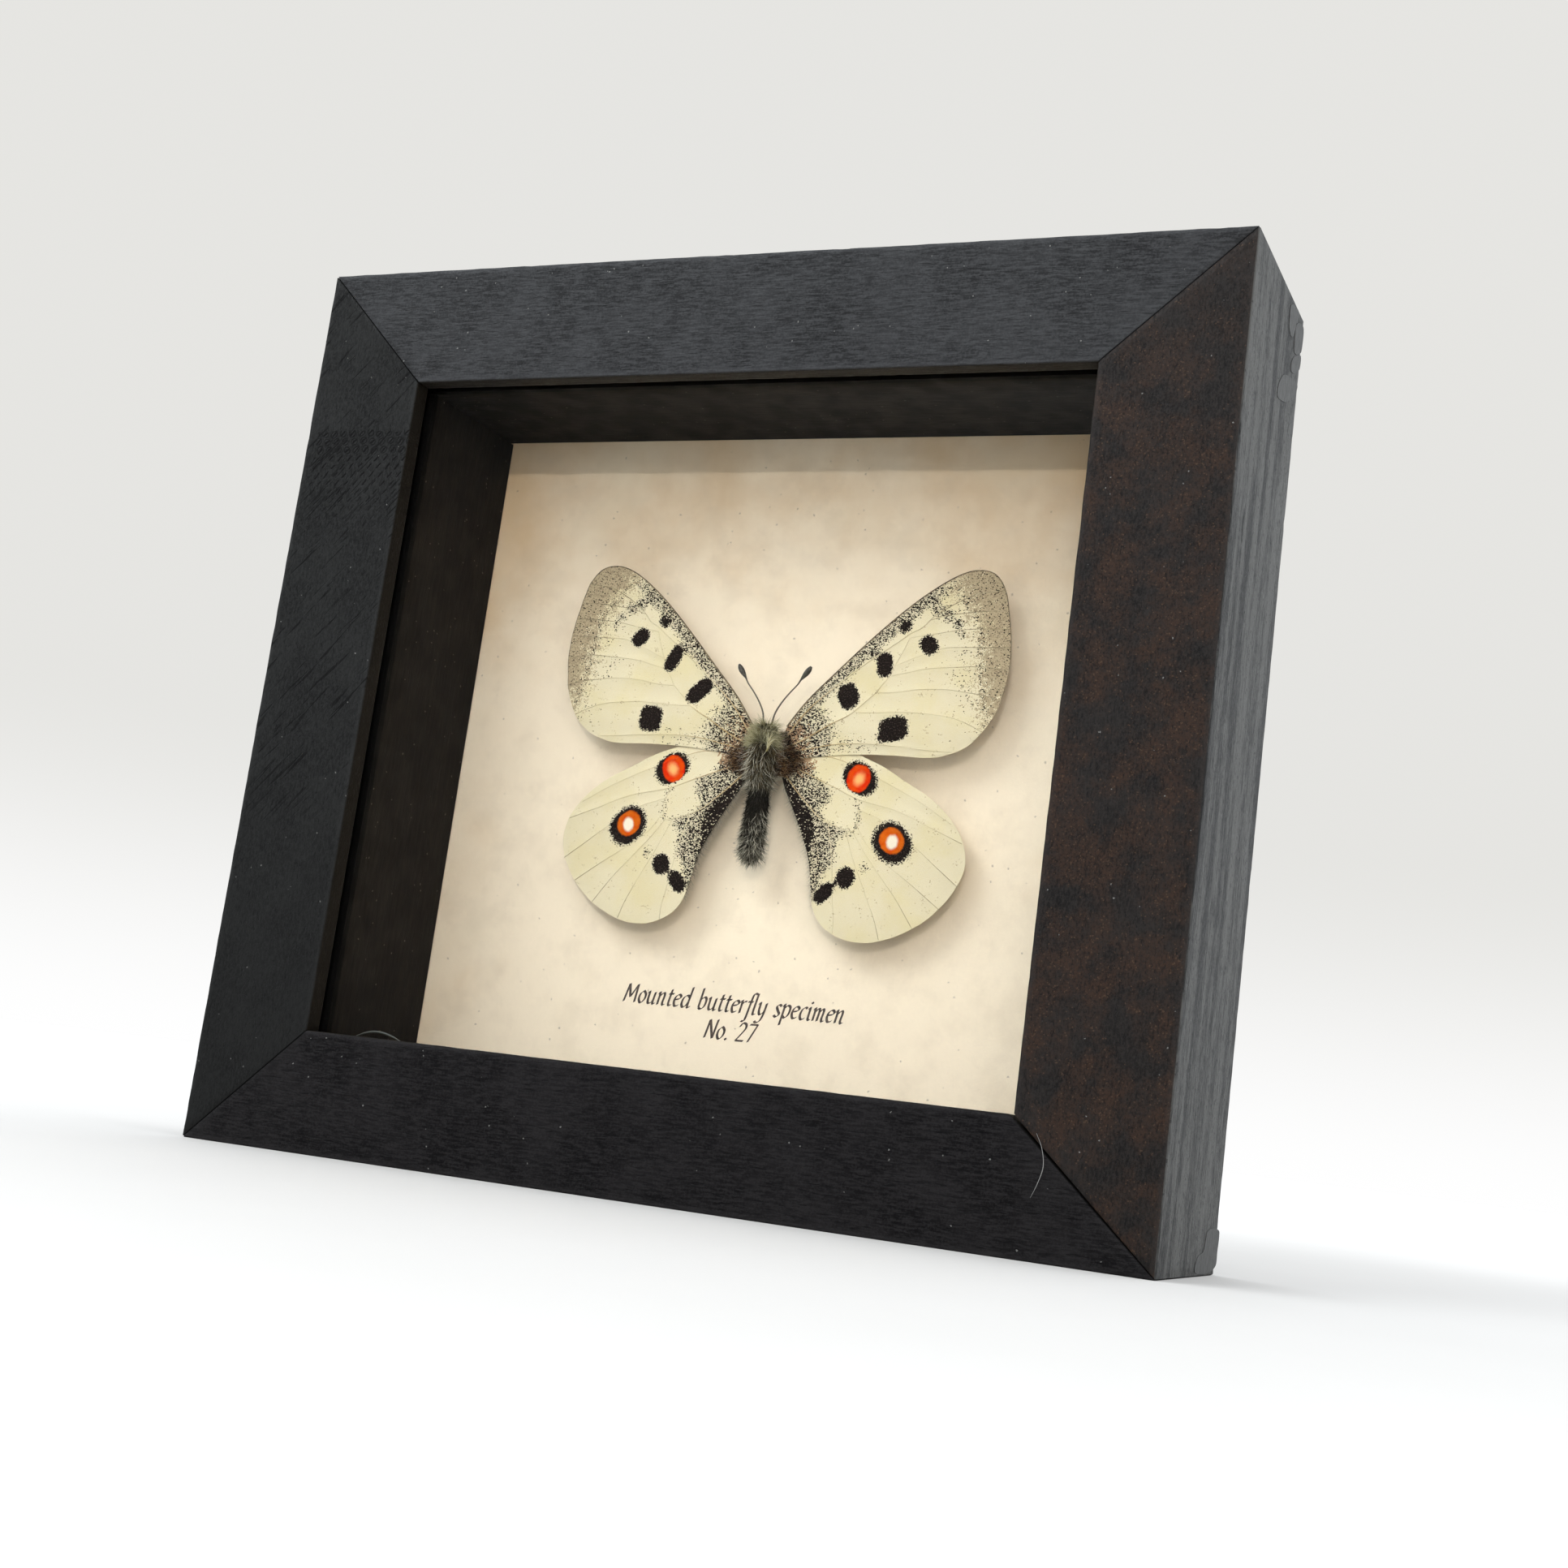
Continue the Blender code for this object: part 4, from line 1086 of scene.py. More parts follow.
# %% Geometry nodes: tubes along paths
def node_group(name, inputs):
    """Start a geometry tree with named inputs; returns it with its input and output sockets."""
    tree = bpy.data.node_groups.new(name, "GeometryNodeTree")
    tree.interface.new_socket("Geometry", in_out="INPUT", socket_type="NodeSocketGeometry")
    for label, kind, value in inputs:
        socket = tree.interface.new_socket(label, in_out="INPUT", socket_type="NodeSocket" + kind)
        if value is not None:
            socket.default_value = value
    tree.interface.new_socket("Geometry", in_out="OUTPUT", socket_type="NodeSocketGeometry")
    return tree, tree.nodes.new("NodeGroupInput").outputs, tree.nodes.new("NodeGroupOutput").inputs


def finish_tree(tree, given, geometry, material):
    """Make instances real, give the material and send the mesh out."""
    real = add(tree, "GeometryNodeRealizeInstances", None, Geometry=geometry)
    feed(tree, given[0], add(tree, "GeometryNodeSetMaterial", None, Geometry=real, Material=material))


tubes, taken, given = node_group("vein_tubes", [("Girth", "Float", 1.0), ("Sides", "Int", 6),
                                                ("Finish", "Material", None)])
curves = add(tubes, "GeometryNodeMeshToCurve", None, Mesh=taken["Geometry"])
girth = add(tubes, "GeometryNodeInputNamedAttribute", {"data_type": "FLOAT"}, Name="girth")
profile = add(tubes, "GeometryNodeCurvePrimitiveCircle", None, Resolution=taken["Sides"], Radius=1.0)
swept = add(tubes, "GeometryNodeCurveToMesh", None, Curve=curves, Profile_Curve=profile,
            Scale=times(tubes, girth, taken["Girth"]), Fill_Caps=True)
finish_tree(tubes, given, add(tubes, "GeometryNodeSetShadeSmooth", None, Geometry=swept), taken["Finish"])


def grown(name, carrier, tree, **values):
    """Run a geometry tree on a carrier mesh and keep the result as a plain mesh piece."""
    modifier = carrier.modifiers.new(tree.name, "NODES")
    modifier.node_group = tree
    for item in tree.interface.items_tree:
        if item.item_type == "SOCKET" and item.in_out == "INPUT" and item.name.replace(" ", "_") in values:
            modifier[item.identifier] = values[item.name.replace(" ", "_")]
    bpy.context.view_layer.update()
    depsgraph = bpy.context.evaluated_depsgraph_get()
    mesh = bpy.data.meshes.new_from_object(carrier.evaluated_get(depsgraph), depsgraph=depsgraph)
    mesh.name = name
    bpy.data.objects.remove(carrier)
    piece = bpy.data.objects.new(name, mesh)
    bpy.context.scene.collection.objects.link(piece)
    return piece


# %% Finish: vein skin
def vein_skin(parts):
    """The wing's own scales with brown rubbed over them: golden by the root, dark in the grey border."""
    material, tree, shader, tone = parts
    flat = wing_place(tree)
    from_root = vcalc(tree, "LENGTH", flat, output=1)
    strength = calc(tree, "MAXIMUM", fade(tree, from_root, 9.0, 19.0, 0.85, 0.1),
                    fade(tree, from_root, 31.0, 40.0, 0.1, 0.8))
    patchy = times(tree, strength, fade(tree, cloud(tree, flat, 0.8, detail=3.0), 0.3, 0.6, 0.5, 1.0))
    warmth = mixed(tree, fade(tree, from_root, 14.0, 30.0), (0.33, 0.21, 0.085), (0.12, 0.085, 0.05))
    tint(tree, shader, mixed(tree, patchy, tone, warmth))
    return material


vein_looks = {"forewing": vein_skin(wing_scales("forewing_veins", FOREWING_SPOTS)),
              "hindwing": vein_skin(eyed_scales("hindwing_veins"))}

edge_finish, tree, shader = finish("costa_skin", Roughness=0.55, IOR=1.45)
flat = wing_place(tree)
dark = fade(tree, cloud(tree, flat, 0.7, detail=3.0), 0.3, 0.65)
tint(tree, shader, mixed(tree, dark, (0.055, 0.038, 0.02), (0.22, 0.16, 0.09)))


# %% Grow the veins and the dark front edge
def path_mesh(name, paths, side, behind, veins):
    """Edges along smooth paths on a wing, with a girth for each point."""
    points, edges, girths = [], [], []
    for root_girth, end_girth, path in paths:
        curve = smooth_path(path, 5)
        backs = wing_back(curve, behind, veins, lift=-0.02)
        start = len(points)
        points += [(AXIS_X + side * out, y, ROOT_Z + up) for (out, up), y in zip(curve, backs)]
        edges += [(start + i, start + i + 1) for i in range(len(curve) - 1)]
        girths += list(np.linspace(root_girth, end_girth, len(curve)) * MM)
    carrier = mesh_object(name, points, [], None, smooth=False, edges=edges)
    paint(carrier, "girth", girths)
    return carrier


COSTAL_EDGE = [(0.2, 0.075, FOREWING[1:15])]
for kind, (outline, veins, behind) in WING_PLACES.items():
    for side_name, side in SIDES:
        carrier = path_mesh(f"{kind}_paths", veins, side, behind, veins)
        keep(grown(f"{kind}_veins_{side_name}", carrier, tubes, Girth=0.8, Sides=6,
                   Finish=vein_looks[kind]), "cream_wing")
for side_name, side in SIDES:
    carrier = path_mesh("costa_path", COSTAL_EDGE, side, FOREWING_DEPTH, FOREWING_VEINS)
    keep(grown(f"forewing_edge_{side_name}", carrier, tubes, Girth=0.75, Sides=8, Finish=edge_finish),
         "dark_horn")

# %% [markdown]
# ## The body
# Head, thorax and abdomen are one soft body that is nearly all hidden by hair. It is lofted through rings
# along its length, with slight swellings for the abdomen's segments, and leans a little to one side at the
# tail as the real one does.

# %% Rings of the body: up, half width, half depth, depth of the axis behind the front face
BODY = [
    (-18.6, 0.35, 0.3, 27.6), (-18.2, 0.9, 0.8, 27.5), (-17.0, 1.55, 1.4, 27.3), (-15.4, 1.85, 1.65, 27.1),
    (-13.2, 1.85, 1.65, 26.9), (-11.0, 1.75, 1.6, 26.8), (-8.8, 1.65, 1.55, 26.6), (-7.0, 1.45, 1.5, 26.5),
    (-6.2, 1.4, 1.6, 26.4), (-5.2, 1.55, 2.1, 26.3), (-3.6, 1.75, 2.6, 26.2), (-1.6, 1.9, 2.8, 26.2),
    (0.2, 1.85, 2.6, 26.2), (1.4, 1.6, 2.0, 26.1), (2.0, 1.3, 1.5, 26.1), (2.6, 1.35, 1.4, 26.0),
    (3.2, 1.3, 1.3, 26.0), (3.7, 1.0, 0.95, 26.0), (4.1, 0.4, 0.4, 26.0),
]
BODY_SIDES = 28
SEGMENT, TAIL_LEAN = 1.55, 0.45


def body_mesh(name, material):
    rows = smooth_path(BODY, 6)
    points = []
    for up, half_width, half_depth, behind in rows:
        swell = 1 + 0.035 * math.sin(2 * math.pi * up / SEGMENT) * (up < -6.8)
        lean = TAIL_LEAN * float(ease(-up, 6.0, 18.9))
        for k in range(BODY_SIDES):
            turn = 2 * math.pi * k / BODY_SIDES
            points.append((AXIS_X - lean + half_width * swell * math.cos(turn),
                           depth(behind) + half_depth * swell * math.sin(turn), ROOT_Z + up))
    n = BODY_SIDES
    faces = [(r * n + k, r * n + (k + 1) % n, (r + 1) * n + (k + 1) % n, (r + 1) * n + k)
             for r in range(len(rows) - 1) for k in range(n)]
    faces += [tuple(reversed(range(n))), tuple(range(len(points) - n, len(points)))]
    return mesh_object(name, points, faces, material)


# %% Finish and build: the trunk
trunk_finish, tree, shader = finish("dark_skin", Roughness=0.75, IOR=1.4)
place = place_mm(tree)
tint(tree, shader, mixed(tree, fade(tree, cloud(tree, place, 0.6, detail=3.0), 0.35, 0.65),
                                              (0.012, 0.011, 0.009), (0.05, 0.046, 0.038)))
relief(tree, shader, cloud(tree, place, 0.3), 0.05)
keep(body_mesh("trunk", trunk_finish), "dark_fur", "body")

# %% Eyes, half hidden in the collar's hair
EYE_RADIUS, EYE_OUT, EYE_UP, EYE_DEPTH = 0.85, 1.15, 3.1, 25.8
eye_finish, _, shader = finish("eye_facets", Roughness=0.3, IOR=1.5)
shader.inputs["Base Color"].default_value = (0.014, 0.011, 0.009, 1.0)
for side_name, side in SIDES:
    ball = mesh_object(f"eye_{side_name}", [], [], eye_finish)
    shape = bmesh.new()
    bmesh.ops.create_icosphere(shape, subdivisions=3, radius=EYE_RADIUS * MM)
    place = Vector((AXIS_X + side * EYE_OUT, depth(EYE_DEPTH), ROOT_Z + EYE_UP)) * MM
    bmesh.ops.translate(shape, verts=shape.verts, vec=place)
    shape.to_mesh(ball.data)
    shape.free()
    ball.data.shade_smooth()
    keep(ball, "dark_fur")

# %% [markdown]
# ## The hair
# Collar, thorax, abdomen and wing roots carry coats of different hair. A particle system could do it, but
# an export drops it. Geometry nodes scatter points over a carrier skin, stand one bent, tapering strand on
# each, and turn it along the lay that is stored on the skin. Every strand keeps a random number and its own
# length along, which the finish reads for its colour.

# %% Geometry nodes: a coat of hair
coat, taken, given = node_group("hair_coat", [
    ("Density", "Float", 10.0), ("Length", "Float", 0.001), ("Slenderness", "Float", 0.02),
    ("Bend", "Float", 0.3), ("Spread", "Float", 0.3), ("Seed", "Int", 1), ("Finish", "Material", None),
])
cover = add(coat, "GeometryNodeInputNamedAttribute", {"data_type": "FLOAT"}, Name="cover")
scatter = coat.nodes.new("GeometryNodeDistributePointsOnFaces")
feed(coat, scatter.inputs["Mesh"], taken["Geometry"])
feed(coat, scatter.inputs["Density"], times(coat, cover, taken["Density"]))
feed(coat, scatter.inputs["Seed"], taken["Seed"])
tip = coat.nodes.new("ShaderNodeCombineXYZ")
feed(coat, tip.inputs["X"], taken["Bend"])
tip.inputs["Z"].default_value = 1.0
strand = add(coat, "GeometryNodeCurveQuadraticBezier", None, Resolution=4, Start=(0, 0, 0),
             Middle=(0, 0, 0.55), End=tip.outputs[0])
share = coat.nodes.new("GeometryNodeSplineParameter").outputs["Factor"]
strand = add(coat, "GeometryNodeStoreNamedAttribute", {"data_type": "FLOAT", "domain": "POINT"},
             Geometry=strand, Name="tip", Value=share)
round_profile = add(coat, "GeometryNodeCurvePrimitiveCircle", None, Resolution=3, Radius=taken["Slenderness"])
strand = add(coat, "GeometryNodeCurveToMesh", None, Curve=strand, Profile_Curve=round_profile,
             Scale=calc(coat, "MULTIPLY_ADD", share, -0.85, 1.0), Fill_Caps=True)


# %% Turn, size and colour each strand
def chance(tree, low, high, seed, kind="FLOAT"):
    """A random value for each point, from a seed of its own."""
    return add(tree, "FunctionNodeRandomValue", {"data_type": kind}, Min=low, Max=high, Seed=seed)


lay = add(coat, "GeometryNodeInputNamedAttribute", {"data_type": "FLOAT_VECTOR"}, Name="lay")
stray = chance(coat, (-1.0, -1.0, -1.0), (1.0, 1.0, 1.0), 11, "FLOAT_VECTOR")
scaled = coat.nodes.new("ShaderNodeVectorMath")
scaled.operation = "SCALE"
feed(coat, scaled.inputs[0], stray)
feed(coat, scaled.inputs["Scale"], taken["Spread"])
way = vcalc(coat, "ADD", lay, scaled.outputs[0])
turn = add(coat, "FunctionNodeAlignRotationToVector", {"axis": "Z"}, Vector=way)
spin = coat.nodes.new("ShaderNodeCombineXYZ")
feed(coat, spin.inputs["Z"], chance(coat, 0.0, 2 * math.pi, 12))
about = add(coat, "FunctionNodeEulerToRotation", None, Euler=spin.outputs[0])
turn = add(coat, "FunctionNodeRotateRotation", {"rotation_space": "LOCAL"}, Rotation=turn, Rotate_By=about)
size = times(coat, taken["Length"], chance(coat, 0.55, 1.25, 13))
hairs = add(coat, "GeometryNodeInstanceOnPoints", None, Points=scatter.outputs["Points"], Instance=strand,
            Rotation=turn, Scale=size)
hairs = add(coat, "GeometryNodeStoreNamedAttribute", {"data_type": "FLOAT", "domain": "INSTANCE"},
            Geometry=hairs, Name="strand", Value=chance(coat, 0.0, 1.0, 14))
finish_tree(coat, given, hairs, taken["Finish"])


# %% Finish: hair
def hair_finish(name, root, middle, light, light_share):
    """Dark at the root, and a share of the strands light."""
    material, tree, shader = finish(name, Roughness=0.6, IOR=1.5, Specular_IOR_Level=0.06)
    body_tone = mixed(tree, fade(tree, attribute(tree, "tip"), 0.0, 0.7), root, middle)
    pale = fade(tree, attribute(tree, "strand"), 1 - light_share - 0.05, 1 - light_share + 0.05)
    pale = times(tree, pale, fade(tree, attribute(tree, "tip"), 0.05, 0.5))
    tint(tree, shader, mixed(tree, pale, body_tone, light))
    return material


olive_hair = hair_finish("olive_hair", (0.07, 0.06, 0.03), (0.36, 0.33, 0.17), (0.6, 0.56, 0.38), 0.4)
grey_hair = hair_finish("grey_hair", (0.02, 0.018, 0.014), (0.1, 0.09, 0.065), (0.4, 0.38, 0.3), 0.35)
black_hair = hair_finish("black_hair", (0.004, 0.0035, 0.003), (0.016, 0.013, 0.009), (0.1, 0.085, 0.06), 0.1)
thorax_brown = hair_finish("thorax_brown", (0.006, 0.005, 0.003), (0.04, 0.03, 0.016), (0.26, 0.2, 0.11),
                           0.25)
pale_hair = hair_finish("pale_hair", (0.08, 0.07, 0.05), (0.42, 0.39, 0.3), (0.68, 0.64, 0.52), 0.5)
rust_hair = hair_finish("rust_hair", (0.03, 0.016, 0.008), (0.2, 0.09, 0.04), (0.55, 0.33, 0.14), 0.4)
root_brown = hair_finish("root_brown", (0.006, 0.004, 0.003), (0.022, 0.013, 0.008), (0.2, 0.12, 0.06), 0.1)
pinkish_hair = hair_finish("pinkish_hair", (0.1, 0.06, 0.04), (0.38, 0.27, 0.2), (0.6, 0.5, 0.4), 0.4)
cream_hair = hair_finish("cream_hair", (0.4, 0.34, 0.16), (0.66, 0.6, 0.36), (0.8, 0.76, 0.55), 0.5)


# %% Coats on the trunk
COAT_END = 0.3


def paint_lay(carrier, ways):
    values = np.asarray(ways, np.float32).ravel()
    carrier.data.attributes.new("lay", "FLOAT_VECTOR", "POINT").data.foreach_set("vector", values)


def trunk_coat(name, low, high, lay, cover, **values):
    """Hair on a stretch of the trunk: lay(side, up) bends the skin's direction, cover(side, up) thins it."""
    carrier = body_mesh("skin", None)
    ways, covers = [], []
    for vertex in carrier.data.vertices:
        up, side = vertex.co.z / MM - ROOT_Z, (vertex.co.x / MM - AXIS_X) / 2.5
        stand, across, rise = lay(side, up)
        way = Vector(vertex.normal) * stand + Vector((across, 0, rise))
        ways.append(way.normalized())
        facing = float(ease(-vertex.normal.y, -0.35, 0.1))
        starts = float(ease(up, low - COAT_END, low + COAT_END))
        ends = float(1 - ease(up, high - COAT_END, high + COAT_END))
        covers.append(facing * starts * ends * cover(side, up))
    paint_lay(carrier, ways)
    paint(carrier, "cover", covers)
    keep(grown(name, carrier, coat, **values), "dark_fur")


def everywhere(side, up):
    return 1.0


def fewer_on_the_right(side, up):
    return 1.0 if side < 0.3 else 0.45


def banded(side, up):
    """Rings that fade out towards the thorax, with some more hair on the right."""
    rings = 0.5 + 0.5 * math.sin(2 * math.pi * up / SEGMENT)
    return float(ease(-up, 9.5, 15.5)) * rings + 0.25 * (side > 0.3)


PER_MM2 = 1e6
trunk_coat("collar_hair", 0.2, 4.0, lambda s, u: (0.7, 1.9 * s, -0.1), everywhere, Density=60 * PER_MM2,
           Length=1.9 * MM, Slenderness=0.02, Bend=0.35, Spread=0.5, Seed=1, Finish=olive_hair)
trunk_coat("thorax_hair", -6.4, 1.2, lambda s, u: (0.25, 0.2 * s, -0.9), everywhere, Density=55 * PER_MM2,
           Length=1.4 * MM, Slenderness=0.026, Bend=0.3, Spread=0.4, Seed=2, Finish=thorax_brown)
trunk_coat("thorax_wisps", -5.8, 1.0, lambda s, u: (0.2, 0.3 * s, -1.0), fewer_on_the_right,
           Density=8 * PER_MM2, Length=2.2 * MM, Slenderness=0.03, Bend=0.35, Spread=0.45, Seed=3,
           Finish=pale_hair)
trunk_coat("rump_hair", -6.8, -3.8, lambda s, u: (0.4, 0.45 * s, -0.8), everywhere, Density=20 * PER_MM2,
           Length=1.9 * MM, Slenderness=0.02, Bend=0.3, Spread=0.4, Seed=4, Finish=grey_hair)
trunk_coat("abdomen_hair", -19.0, -6.0, lambda s, u: (0.35, 0.25 * s, -0.9), everywhere, Density=60 * PER_MM2,
           Length=1.1 * MM, Slenderness=0.028, Bend=0.3, Spread=0.4, Seed=5, Finish=black_hair)
trunk_coat("abdomen_pale_hair", -19.0, -10.0, lambda s, u: (0.45, 0.25 * s, -1.0), banded,
           Density=22 * PER_MM2, Length=1.5 * MM, Slenderness=0.036, Bend=0.3, Spread=0.45, Seed=6,
           Finish=pale_hair)
trunk_coat("tail_hair", -19.0, -16.6, lambda s, u: (0.9, 0.3 * s, -0.6), everywhere, Density=35 * PER_MM2,
           Length=1.7 * MM, Slenderness=0.026, Bend=0.3, Spread=0.45, Seed=7, Finish=grey_hair)

# %% [markdown]
# At the wing roots the wings disappear under tufts: blackish hair with clumps of orange-brown scales. The
# hindwings' inner edge has a fringe of long pale hairs that lies over the card. These coats grow on small
# patches laid over the roots, and on a narrow band along the edge.


# %% Coats at the wing roots and along the inner edge
def patch(name, rows, lays, covers=None):
    """A strip of skin through two or more rows of points, with its lay and cover."""
    rows = [np.array(r, float) for r in rows]
    count = len(rows[0])
    faces = [(r * count + i, r * count + i + 1, (r + 1) * count + i + 1, (r + 1) * count + i)
             for r in range(len(rows) - 1) for i in range(count - 1)]
    carrier = mesh_object(name, np.vstack(rows), faces, None)
    paint_lay(carrier, [Vector(v).normalized() for row in lays for v in row])
    paint(carrier, "cover", covers or [1.0] * (len(rows) * count))
    return carrier


ROOT_TUFTS = [(1.5, 3.0, 3.2, 0.1), (1.6, 1.4, 4.4, 0.3), (1.7, 0.0, 6.0, 0.4), (1.7, -1.5, 7.4, 0.4),
              (1.7, -3.0, 7.0, 0.35), (1.6, -4.4, 4.8, 0.2)]
# Each coat: hair, density, length, slenderness, seed, and where it clumps: nearly everywhere at -1, hardly
# at 1
ROOT_COATS = [("dark", root_brown, 60, 1.1, 0.028, 22, -0.35),
              ("black", root_brown, 30, 1.0, 0.026, 25, -0.1), ("rust", rust_hair, 90, 0.7, 0.05, 28, 0.08),
              ("pale", pinkish_hair, 60, 0.8, 0.045, 29, 0.14)]
TUFT_STEPS, TUFT_LIFT = 14, 0.12
for side_name, side in SIDES:
    for label, hair, density, length, slender, seed, clump in ROOT_COATS:
        rows, lays, covers = [], [], []
        for start, up, reach, height in ROOT_TUFTS:
            outs = np.linspace(start, reach, TUFT_STEPS)
            swell = np.sin(np.linspace(0.5, 1.0, TUFT_STEPS) * math.pi) * height
            rows.append([(AXIS_X + side * out, depth(FOREWING_DEPTH - TUFT_LIFT - s), ROOT_Z + up)
                         for out, s in zip(outs, swell)])
            lays.append([(side * 1.0, -0.16, 0.09 * (up + 1.0) - 0.1)] * TUFT_STEPS)
            tufted = [noise.noise(Vector((out * 0.65, up * 0.65, seed + 3.1 * side))) for out in outs]
            thinning = 1 - ease(np.linspace(0, 1, TUFT_STEPS), 0.55, 1.0)
            covers += list(thinning * ease(tufted, clump, clump + 0.12))
        carrier = patch("root_skin", rows, lays, covers)
        keep(grown(f"root_hair_{side_name}_{label}", carrier, coat, Density=density * PER_MM2,
                   Length=length * MM, Slenderness=slender, Bend=0.25, Spread=0.4, Seed=seed + side,
                   Finish=hair), "dark_fur")

FRINGES = [("pale", pale_hair, 26, 1.5, 31), ("dark", grey_hair, 40, 1.1, 33)]
INNER_EDGE = smooth_path([(3.4, -5.2), (5.8, -9.4), (8.2, -13.8), (10.0, -17.8), (11.1, -22.5),
                          (11.9, -25.4)], 4)
for side_name, side in SIDES:
    way = np.gradient(INNER_EDGE, axis=0)
    away = np.stack([way[:, 1], -way[:, 0]], axis=1)
    away /= -np.linalg.norm(away, axis=1)[:, None] * np.sign(away[:, :1])
    rows = [[(AXIS_X + side * (p[0] + inset), depth(HINDWING_DEPTH - 0.25), ROOT_Z + p[1])
             for p in INNER_EDGE] for inset in (0.05, 0.7)]
    lays = [[(side * a[0], 0.25, a[1] - 0.9) for a in away]] * 2
    for label, hair, density, length, seed in FRINGES:
        carrier = patch("edge_skin", rows, lays)
        keep(grown(f"inner_fringe_{side_name}_{label}", carrier, coat, Density=density * PER_MM2,
                   Length=length * MM, Slenderness=0.012, Bend=0.35, Spread=0.35, Seed=seed + side,
                   Finish=hair), "dark_fur")

# %% The cream tuft beside the thorax
tuft = [[(AXIS_X + 1.75 + 0.25 * k, depth(23.2 + 0.3 * k), ROOT_Z + u) for u in (-1.1, -0.5, 0.1)]
        for k in (0, 1)]
carrier = patch("tuft_skin", tuft, [[(0.35, -0.35, 1.0)] * 3] * 2)
keep(grown("cream_tuft", carrier, coat, Density=90 * PER_MM2, Length=1.9 * MM, Slenderness=0.035, Bend=0.45,
           Spread=0.14, Seed=41, Finish=cream_hair), "dark_fur")

# %% [markdown]
# ## The antennae
# Each antenna is a thread of some forty tiny rings that ends in a dark club with a paler tip. It is swept
# through the CAD's own points, finer, with a slight swelling for every ring.

# %% Build the antennae
ANTENNA = [
    (0.7, 3.9, 0.17), (1.1, 5.9, 0.15), (1.95, 7.6, 0.14), (3.25, 9.4, 0.13), (4.55, 10.9, 0.13),
    (5.1, 11.8, 0.17), (5.5, 12.35, 0.34), (6.0, 13.0, 0.5), (6.4, 13.6, 0.44), (6.7, 14.1, 0.2),
]
ANTENNA_DEPTH, RINGS_PER_SPAN, ANTENNA_SIDES = 26.0, 16, 10
club_finish, tree, shader = finish("antenna_horn", Roughness=0.5, IOR=1.5)
place = place_mm(tree)
share = attribute(tree, "club")
ringed = mixed(tree, attribute(tree, "ring"), (0.07, 0.055, 0.04), (0.17, 0.14, 0.1))
black_club = mixed(tree, fade(tree, cloud(tree, place, 0.3), 0.35, 0.7), (0.018, 0.016, 0.012),
                   (0.07, 0.062, 0.045))
tint(tree, shader, mixed(tree, share, ringed, black_club))


def antenna(name, side):
    rows = smooth_path(ANTENNA, RINGS_PER_SPAN)
    path = [Vector((AXIS_X + side * out, depth(ANTENNA_DEPTH) - 0.02 * up, ROOT_Z + up))
            for out, up, _ in rows]
    points, clubs, rings = [], [], []
    for i, (out, up, radius) in enumerate(rows):
        way = (path[min(i + 1, len(path) - 1)] - path[max(i - 1, 0)]).normalized()
        across = way.cross(Vector((0, 1, 0))).normalized()
        ring = 0.5 + 0.5 * math.sin(i * math.pi / 2)
        for k in range(ANTENNA_SIDES):
            turn = 2 * math.pi * k / ANTENNA_SIDES
            spoke = across * math.cos(turn) + Vector((0, math.sin(turn), 0))
            points.append(path[i] + spoke * float(radius * (0.93 + 0.07 * ring)))
            clubs.append(float(ease(up, 11.2, 12.0)))
            rings.append(ring)
    n = ANTENNA_SIDES
    faces = [(r * n + k, r * n + (k + 1) % n, (r + 1) * n + (k + 1) % n, (r + 1) * n + k)
             for r in range(len(rows) - 1) for k in range(n)]
    faces += [tuple(reversed(range(n))), tuple(range(len(points) - n, len(points)))]
    piece = mesh_object(name, points, faces, club_finish)
    worked(piece, face_outwards)
    paint(piece, "club", clubs)
    paint(piece, "ring", rings)
    return piece


for side_name, side in SIDES:
    keep(antenna(f"feeler_{side_name}", side), "dark_horn", f"antenna_{side_name}")

# %% [markdown]
# A dab of clear glue holds the thorax on the card. It hides behind the body, so the CAD's shape stays.

# %% Finish: glue
glue, tree, shader = finish("clear_glue", IOR=1.48)
place = place_mm(tree)
tint(tree, shader, mixed(tree, cloud(tree, place, 0.8), (0.7, 0.64, 0.48), (0.84, 0.8, 0.66)))
feed(tree, shader.inputs["Roughness"], fade(tree, cloud(tree, place, 0.5), 0.3, 0.7, 0.18, 0.4))
clad("glue_dab", glue)

# %% [markdown]
# ## The back
# The back is closed by grey board and sealed with black crepe tape, with a zinc hanger on top. Only the laps
# of tape on the right flank show in the photograph, so the rest follows what such frames have. The tape is
# a thin sheet with fine ripples across its length and edges that are never quite straight; the board and
# the hanger keep their CAD shape.

# %% Finish: crepe tape, board and zinc
tape_finish, tree, shader = finish("crepe_tape", IOR=1.45)
place = place_mm(tree)
fibres = cloud(tree, place, 0.5, detail=4.0, roughness=0.65)
tint(tree, shader, mixed(tree, fade(tree, fibres, 0.3, 0.75), (0.014, 0.014, 0.015), (0.045, 0.045, 0.047)))
feed(tree, shader.inputs["Roughness"], fade(tree, cloud(tree, place, 6.0), 0.3, 0.7, 0.6, 0.78))
relief(tree, shader, fibres, 0.06)

board, tree, shader = finish("grey_board", Roughness=0.9, IOR=1.4)
place = place_mm(tree)
pulp = cloud(tree, place, 0.7, detail=5.0, roughness=0.7)
tone = mixed(tree, fade(tree, pulp, 0.3, 0.75), (0.25, 0.23, 0.2), (0.4, 0.375, 0.335))
chips = use(tree, specks, Place=place, Share=0.05, Size=0.5)["Speck"]
tone = mixed(tree, times(tree, chips, 0.5), tone, (0.14, 0.12, 0.1))
tint(tree, shader, tone)
relief(tree, shader, pulp, 0.06)
clad("backboard", board)

